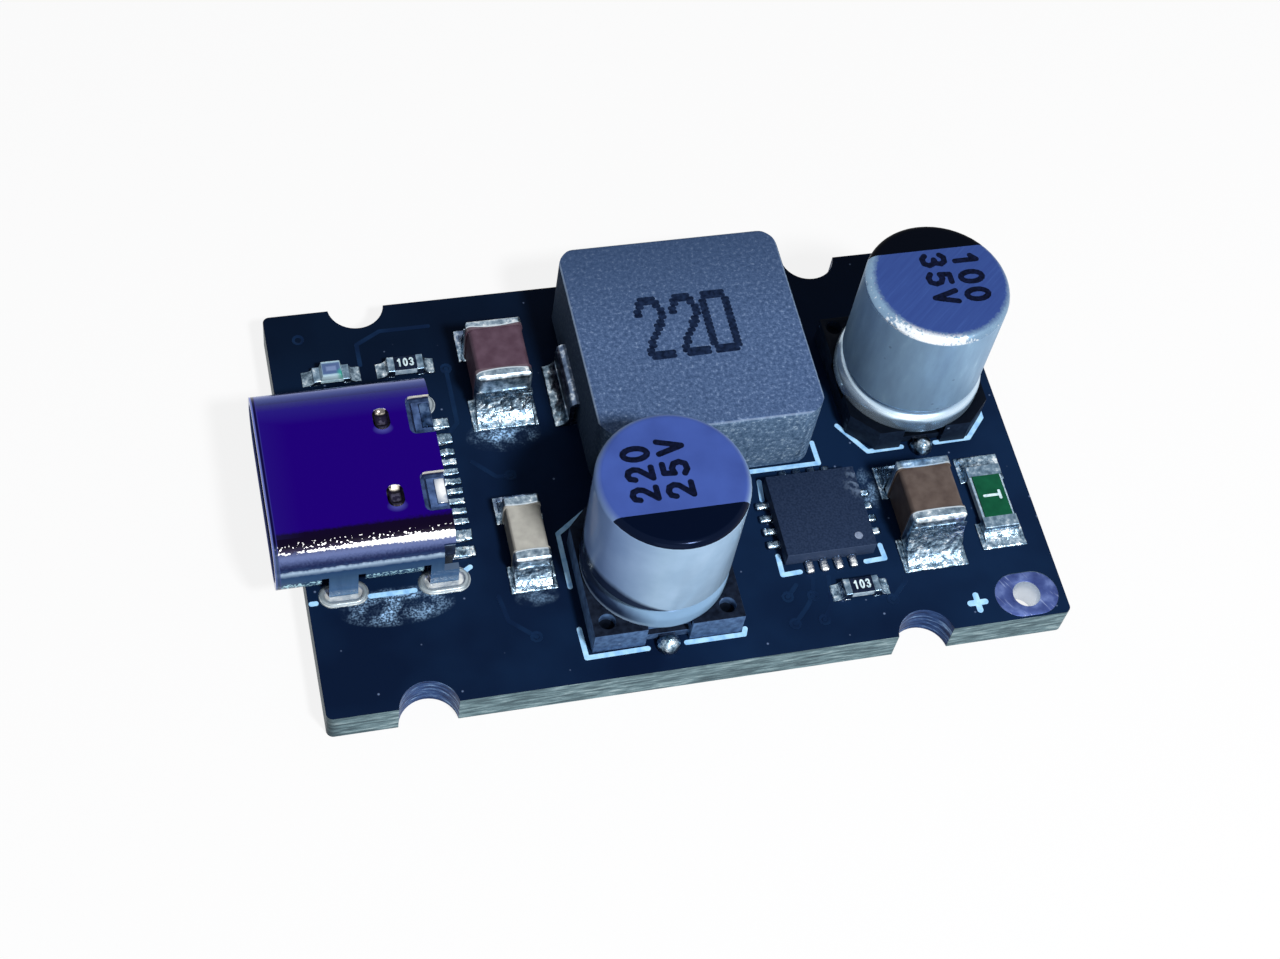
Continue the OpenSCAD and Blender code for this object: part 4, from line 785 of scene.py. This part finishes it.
# Tinned ends: crinkled grey metal with bright ridges.
cap, place = start_finish("tinned_chip_end", "#7b90a2", rough=0.28, metal=1.0)
crinkle = put(cap, "TexNoise", Vector=place, Scale=per(0.3), Detail=5, Roughness=0.6)
tint = put(cap, "ValToRGB", crinkle, stops=[
    (0.3, "#465a6c"), (0.48, "#6c8499"), (0.6, "#95aabb"), (0.72, "#e2ebf1")])
skin = put(cap, "Bump", Height=crinkle, Strength=0.5, Distance=0.05 * MM)
feed(cap, Base_Color=tint, Normal=skin)
dress("fuse_body", alumina)
dress("fuse_coat", green)
dress("fuse_ends", cap)
melt("fuse_solder", solder, cell=0.025, swell=0.015, ripple=0.07)
# White glaze: a matt print, thin in places.
white = mottled("white_glaze_print", "#c4dbe4", rough=0.5, size=0.15, detail=2,
                stops=[(0.3, "#a3bfca"), (0.6, "#d5e8ee")], gloss=0.1)
low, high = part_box("fuse_coat")
middle = (low + high) / 2 / MM
number = write("|", (middle.x + 0.42, middle.y - 0.24), (0, 0.48), (-0.84, 0),
               weight=0.13, flat=high.z / MM)
settle(number, "fuse_number", white)


# Charge lamp and chip resistors: the lamp is clear epoxy cast over a die on white laminate.
# A resistor is alumina with a black glazed film on top, tinned ends and its value in numbers.
# Lamp laminate: glass cloth in white resin, with a faint weave.
cloth = mottled("white_lamp_laminate", "#a9c3cf", rough=0.5, size=0.15, detail=2,
                stops=[(0.3, "#86a5b6"), (0.7, "#c3dbe2")], gloss=0.2)
dress("led_base", cloth)
# Cast epoxy: smooth, glossy and partly clear.
clear, place = start_finish("clear_cast_epoxy", "#7f9bc0", rough=0.12, gloss=0.5)
clear.node_tree.nodes["Principled BSDF"].inputs["Transmission Weight"].default_value = 0.25
low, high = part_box("led_lens")
middle, half = (low + high) / 2, (high - low) / 2
at = put(clear, "VectorMath", place, middle, operation="SUBTRACT")
at = put(clear, "VectorMath", at, operation="ABSOLUTE")
ax, ay = put(clear, "SeparateXYZ", at, out=("X", "Y"))
ax = put(clear, "Math", half.x, ax, operation="SUBTRACT")
ay = put(clear, "Math", half.y, ay, operation="SUBTRACT")
inward = put(clear, "Math", ax, ay, operation="MINIMUM")
inward = put(clear, "MapRange", inward, 0, 0.4 * MM)
# The cast block is bright at its edges, and the die shows as a lilac patch in the middle.
tint = put(clear, "ValToRGB", inward, stops=[
    (0.0, "#c9e6f2"), (0.22, "#b0d2e6"), (0.32, "#5c78a4"), (0.6, "#52699a"), (0.8, "#8298c4")])
green_at = near(clear, place, (-13.0, 6.15, 2.2), (0.28, 0.3, 0.4))
tint = put(clear, "MixRGB", green_at, tint, "#2fae9a")
feed(clear, Base_Color=tint)
dress("led_lens", clear, broken=0.04)
dress("led_terminals", cap)
melt("led_solder", thin, cell=0.018, swell=-0.02, ripple=0.05, pulls=8)
# Resistor glaze: smooth black with a low shine.
film = mottled("black_resistor_glaze", "#0d1526", rough=0.3, size=0.3, detail=2,
               stops=[(0.3, "#091020"), (0.7, "#162138")], gloss=0.08)
for name in ("led_resistor", "signal_resistor"):
    dress(name + "_body", alumina)
    dress(name + "_coat", film)
    dress(name + "_ends", cap)
    joint = thin if name == "led_resistor" else solder
    melt(name + "_solder", joint, cell=0.018, swell=-0.01, ripple=0.05, pulls=6)
    low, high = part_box(name + "_coat")
    middle = (low + high) / 2 / MM
    value = write("103", (middle.x - 0.38, middle.y - 0.2), (0.76, 0), (0, 0.44),
                  weight=0.075, flat=high.z / MM)
    settle(value, name + "_value", white)


# Capacitor bases, leads and rubber: each can stands on a moulded plate, two corners cut for plus.
# Flat leads run out in grooves to a round drop of solder at the front and the back.
# Moulded black plastic: matt on top, paler on its walls, with light chips and lead pits painted in as dark
# shade.
plastic, place = start_finish("moulded_black_plastic", "#18233a", rough=0.5, gloss=0.05)
flow = put(plastic, "TexNoise", Vector=place, Scale=per(0.25), Detail=3)
top = put(plastic, "ValToRGB", flow, stops=[(0.3, "#0b101b"), (0.7, "#1a2231")])
wall = put(plastic, "ValToRGB", flow, stops=[(0.3, "#33486a"), (0.7, "#527098")])
# Painted shade darkens the moulding towards the right.
rightward_shade = put(plastic, "SeparateXYZ", place, out="X")
rightward_shade = put(plastic, "MapRange", rightward_shade, 3 * MM, 8 * MM, 0, 0.9)
wall = put(plastic, "MixRGB", rightward_shade, wall, "#070c17")
top = put(plastic, "MixRGB", rightward_shade, top, "#04070d")
up = facing(plastic, "Z")
lid = put(plastic, "MapRange", up, 0.3, 0.7)
tint = put(plastic, "MixRGB", lid, wall, top)
chips = put(plastic, "TexVoronoi", Vector=place, Scale=per(0.8), out="Distance")
tint = shade(plastic, tint, "#8ba3c4", chips, 0.1, 0.05, share=0.4)
# The lead pits are painted in as dark shade.
for middle in (-4.23, 0.89):
    pit = near(plastic, place, (middle, -8.06, 2.5), (0.5, 0.5, 0.45))
    tint = put(plastic, "MixRGB", pit, tint, "#03060c")
skin = put(plastic, "Bump", Height=flow, Strength=0.3, Distance=0.03 * MM)
feed(plastic, Base_Color=tint, Normal=skin)
# Butyl rubber: dull and nearly black.
rubber = mottled("butyl_rubber", "#2a2a2c", rough=0.8, size=0.2, detail=2,
                 stops=[(0.3, "#1f1f21"), (0.7, "#343437")], gloss=0.2)
# Rolled foil and paper: dull tan.
paper = mottled("rolled_foil_and_paper", "#8b7f6a", rough=0.8, size=0.2, detail=2,
                stops=[(0.3, "#776c59"), (0.7, "#a09480")], gloss=0.2)
for name in ("output", "input"):
    dress(name + "_base", plastic, broken=0.06)
    dress(name + "_leads", wire)
    dress(name + "_bung", rubber)
    dress(name + "_winding", paper)
    joint = solder if name == "output" else thin
    melt(name + "_can_solder", joint, cell=0.02, swell=0.0, ripple=0.05)


# Output can: drawn aluminium in a pale matt lacquer, crimped below on its rubber.
# The top is lacquered blue-violet, with a black segment for minus and its value in black ink.
BEAD_TOP, LID_FROM, PRINT_FROM = 3.85, 8.9, 9.15
# Pale lacquer: even grey-blue with a low sheen, in a faint haze.
lacquer, place = start_finish("pale_lacquered_aluminium", "#8ea9c3", rough=0.13, gloss=0.03)
y, z = put(lacquer, "SeparateXYZ", place, out=("Y", "Z"))
haze = put(lacquer, "TexNoise", Vector=place, Scale=per(1.6), Detail=3)
body = put(lacquer, "ValToRGB", haze, stops=[(0.3, "#86a1bb"), (0.7, "#95b0ca")])
lid = put(lacquer, "ValToRGB", haze, stops=[(0.3, "#384c8f"), (0.7, "#4057a0")])
nx, up = facing(lacquer, ("X", "Z"))
high = put(lacquer, "Math", z, LID_FROM * MM, operation="GREATER_THAN")
top = put(lacquer, "MapRange", up, 0.35, 0.98)
top = put(lacquer, "Math", top, high, operation="MULTIPLY")
bead = put(lacquer, "Math", z, BEAD_TOP * MM, operation="LESS_THAN")
bead = put(lacquer, "Math", bead, 0.55, operation="MULTIPLY")
body = put(lacquer, "MixRGB", bead, body, "#5c82a6")
# Painted shade deepens the wall to the left, and is darkest in a crescent over the crimp.
body = shade(lacquer, body, "#3d5aa0", nx, -0.3, -0.9, share=0.55)
tall = put(lacquer, "MapRange", nx, 0.1, -0.75, 0.06 * MM, 1.0 * MM)
over = put(lacquer, "Math", z, 4.0 * MM, operation="SUBTRACT")
over = put(lacquer, "Math", over, tall, operation="DIVIDE")
above = put(lacquer, "Math", z, 3.86 * MM, operation="GREATER_THAN")
crescent = put(lacquer, "MapRange", over, 1.15, 0.75, 0, 0.95)
crescent = put(lacquer, "Math", crescent, above, operation="MULTIPLY")
# To the left the bead's own shoulder carries the same painted shade, over a painted highlight as a pale
# line at its foot.
gloom = put(lacquer, "MapRange", nx, -0.2, -0.65, 0, 0.92)
shelf = put(lacquer, "MapRange", z, 2.95 * MM, 3.15 * MM)
below = put(lacquer, "Math", 1, above, operation="SUBTRACT")
gloom = put(lacquer, "Math", gloom, below, operation="MULTIPLY")
foot = put(lacquer, "MapRange", shelf, 1, 0, 0, 0.6)
foot = put(lacquer, "Math", foot, gloom, operation="MULTIPLY")
body = put(lacquer, "MixRGB", foot, body, "#c6e0f6")
gloom = put(lacquer, "Math", gloom, shelf, operation="MULTIPLY")
crescent = put(lacquer, "Math", crescent, gloom, operation="MAXIMUM")
body = put(lacquer, "MixRGB", crescent, body, "#0b1630")
tint = put(lacquer, "MixRGB", top, body, lid)
minus = put(lacquer, "Math", y, -6.98 * MM, operation="LESS_THAN")
edge = put(lacquer, "Math", z, PRINT_FROM * MM, operation="GREATER_THAN")
minus = put(lacquer, "Math", minus, edge, operation="MULTIPLY")
tint = put(lacquer, "MixRGB", minus, tint, "#030a1e")
# The print's glossy rim catches the lamp.
rim = put(lacquer, "Math", up, 0.97, operation="LESS_THAN")
rim = put(lacquer, "Math", rim, minus, operation="MULTIPLY")
shine = put(lacquer, "MapRange", rim, 0, 1, 0.03, 0.12)
feed(lacquer, Base_Color=tint, Specular_IOR_Level=shine)
dress("output_can", lacquer, sharp=60)
CAN_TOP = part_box("output_can")[1].z / MM
# Print ink: matt black with a trace of blue.
black = mottled("black_print_ink", "#070b1c", rough=0.5, size=0.12, detail=2,
                stops=[(0.3, "#040714"), (0.7, "#0f1530")], gloss=0.04)
value = write("220", (-2.36, -6.48), (0, 2.66), (-1.25, 0), weight=0.26, flat=CAN_TOP)
value += write("25V", (-0.93, -6.5), (0, 2.86), (-1.22, 0), weight=0.26, flat=CAN_TOP)
settle(value, "output_can_value", black)


# Input can: the same drawn aluminium left bright, brushed on top and scuffed along its side.
# It carries a black segment at the back and its value in black ink.
# Brushed aluminium: grey-blue, scuffed down its side, its brush lines drawn coarse enough to show.
bright, place = start_finish("brushed_aluminium", "#8fb0cf", rough=0.42, metal=0.4, gloss=0.015)
y, z = put(bright, "SeparateXYZ", place, out=("Y", "Z"))
drawn = put(bright, "VectorMath", place, (1, 1, 0.25), operation="MULTIPLY")
drawn = put(bright, "TexNoise", Vector=drawn, Scale=per(0.5), Detail=5, Roughness=0.6)
body = put(bright, "ValToRGB", drawn, stops=[
    (0.3, "#7895b2"), (0.6, "#82a1bd"), (0.75, "#90afc8"), (0.85, "#c3d6e4")])
pits = put(bright, "TexVoronoi", Vector=place, Scale=per(1.1), out="Distance")
body = shade(bright, body, "#42566e", pits, 0.08, 0.04, share=0.5)
turn = put(bright, "VectorRotate", Vector=place, Angle=math.radians(-40), rotation_type="Z_AXIS")
turn = put(bright, "VectorMath", turn, (0.05, 1, 1), operation="MULTIPLY")
brush = put(bright, "TexNoise", Vector=turn, Scale=per(0.09), Detail=3)
lid = put(bright, "ValToRGB", brush, stops=[(0.3, "#314684"), (0.6, "#344b89"), (0.78, "#3b5493")])
nx, up = facing(bright, ("X", "Z"))
high = put(bright, "Math", z, LID_FROM * MM, operation="GREATER_THAN")
# The brushed lid is a disc a little off the can's middle, with a ragged edge.
low_end, high_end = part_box("input_can")
centre = (low_end + high_end) / 2 + Vector((0.13, 0.1, 0)) * MM
away = put(bright, "VectorMath", place, centre, operation="SUBTRACT")
away = put(bright, "VectorMath", away, (1, 1, 0), operation="MULTIPLY")
frontal = put(bright, "VectorMath", away, (-0.42, -0.91, 0), out="Value", operation="DOT_PRODUCT")
away = put(bright, "VectorMath", away, out="Value", operation="LENGTH")
jag = put(bright, "TexNoise", Vector=place, Scale=per(0.14), Detail=2)
ragged = put(bright, "MapRange", jag, 0.3, 0.7, -0.05 * MM, 0.05 * MM)
away = put(bright, "Math", away, ragged, operation="ADD")
top = put(bright, "MapRange", away, 3.02 * MM, 2.76 * MM)
top = put(bright, "Math", top, high, operation="MULTIPLY")
# The crimped bead below is bare metal, with painted highlights on its shoulder and on the left.
bead = put(bright, "Math", z, BEAD_TOP * MM, operation="LESS_THAN")
shoulder = put(bright, "ValToRGB", up, stops=[
    (0.1, "#86a0b8"), (0.4, "#a3bdd4"), (0.58, "#c9dcec"), (0.75, "#c3d8ea"), (0.95, "#93adc4")])
shoulder = shade(bright, shoulder, "#d3e6f4", nx, -0.3, -0.8, share=0.8)
body = put(bright, "MixRGB", bead, body, shoulder)
# A painted highlight, a white arc along the front of the rim, glints between sparks.
bend = put(bright, "MapRange", away, 2.78 * MM, 2.86 * MM)
bend = put(bright, "Math", bend, high, operation="MULTIPLY")
round_top = put(bright, "Math", up, 0.2, operation="GREATER_THAN")
bend = put(bright, "Math", bend, round_top, operation="MULTIPLY")
glint = put(bright, "MapRange", frontal, 2.3 * MM, 3.05 * MM, 0.3, 0.66)
glint = put(bright, "Math", glint, jag, operation="SUBTRACT")
glint = put(bright, "MapRange", glint, -0.06, 0.1, 0.0, 0.85)
glint = put(bright, "Math", glint, bend, operation="MULTIPLY")
body = put(bright, "MixRGB", glint, body, "#f6fbff")
tint = put(bright, "MixRGB", top, body, lid)
minus = put(bright, "Math", y, 4.14 * MM, operation="GREATER_THAN")
edge = put(bright, "Math", z, PRINT_FROM * MM, operation="GREATER_THAN")
minus = put(bright, "Math", minus, edge, operation="MULTIPLY")
tint = put(bright, "MixRGB", minus, tint, "#03060f")
# The drawn rim and the crimped bead are burnished bright, the printed segment isn't metal at all.
bare = put(bright, "Math", bend, bead, operation="MAXIMUM")
dull = put(bright, "MapRange", bare, 0, 1, 0.42, 0.27)
metal = put(bright, "MapRange", bare, 0, 1, 0.4, 0.75)
bare = put(bright, "Math", 1, minus, operation="SUBTRACT")
metal = put(bright, "Math", metal, bare, operation="MULTIPLY")
lines = put(bright, "Bump", Height=brush, Strength=0.05, Distance=0.02 * MM)
feed(bright, Base_Color=tint, Roughness=dull, Metallic=metal, Normal=lines)
dress("input_can", bright, sharp=60)
value = write("100", (12.67, 3.86), (0, -2.65), (1.21, 0), weight=0.26, flat=CAN_TOP)
value += write("35V", (11.25, 3.98), (0, -2.77), (1.22, 0), weight=0.26, flat=CAN_TOP)
settle(value, "input_can_value", black)


# Studio: a plain pale floor under the module, an even white surround and two soft lamps.
# The camera stands where the photograph was taken from.
def shown(studio):
    """A factor that is 1 where the camera looks, also by a mirror or a lens, and 0 where light falls."""
    seen, mirrored, passed = put(studio, "LightPath", out=(
        "Is Camera Ray", "Is Glossy Ray", "Is Transmission Ray"))
    seen = put(studio, "Math", seen, mirrored, operation="MAXIMUM")
    return put(studio, "Math", seen, passed, operation="MAXIMUM")


bpy.ops.object.select_all(action="DESELECT")
bpy.ops.mesh.primitive_plane_add(size=2, location=(0, 0, -0.02 * MM))
floor = bpy.context.object
floor.name = "floor"
# Matt paint, lit from within for the camera so that it shows as plain white.
pale = start_finish("pale_floor", "#dcdcde", rough=0.9, gloss=0.0)[0]
pure = put(pale, "Math", shown(pale), 0.86, operation="MULTIPLY")
glow = put(pale, "Emission", Color=(1, 1, 1, 1), Strength=1.0)
shader = pale.node_tree.nodes["Principled BSDF"].outputs[0]
blend = put(pale, "MixShader", pure, shader, glow)
pale.node_tree.links.new(blend, pale.node_tree.nodes["Material Output"].inputs["Surface"])
floor.data.materials.append(pale)

world = bpy.data.worlds.new("studio")
bpy.context.scene.world = world
world.use_nodes = True
level = put(world, "MapRange", shown(world), 0, 1, 0.26, 1.0)
surround = world.node_tree.nodes["Background"]
surround.inputs["Color"].default_value = (1, 1, 1, 1)
world.node_tree.links.new(level, surround.inputs["Strength"])

for name, aim, size, power in [("key_lamp", (0.21, -0.54, 0.815), 0.03, 0.68),
                               ("fill_lamp", (-0.15, -0.93, 0.33), 0.16, 0.1)]:
    bpy.ops.object.light_add(type="AREA", location=Vector(aim).normalized() * 0.25)
    lamp = bpy.context.object
    lamp.name = name
    lamp.data.size = size
    lamp.data.energy = power
    lamp.rotation_euler = Vector(aim).to_track_quat("Z", "Y").to_euler()

bpy.ops.object.camera_add(location=Vector((-21.166, -48.378, 81.446)) * MM)
camera = bpy.context.object
ahead, upward = Vector((0.21128, 0.50084, -0.83935)), Vector((0.12307, 0.83827, 0.53118))
camera.rotation_euler = Matrix((ahead.cross(upward), upward, -ahead)).transposed().to_euler()
camera.data.sensor_fit = "HORIZONTAL"
camera.data.sensor_width = 36
camera.data.lens = 61.634
camera.data.clip_start = 0.005
bpy.context.scene.camera = camera
bpy.context.scene.view_settings.view_transform = "Standard"
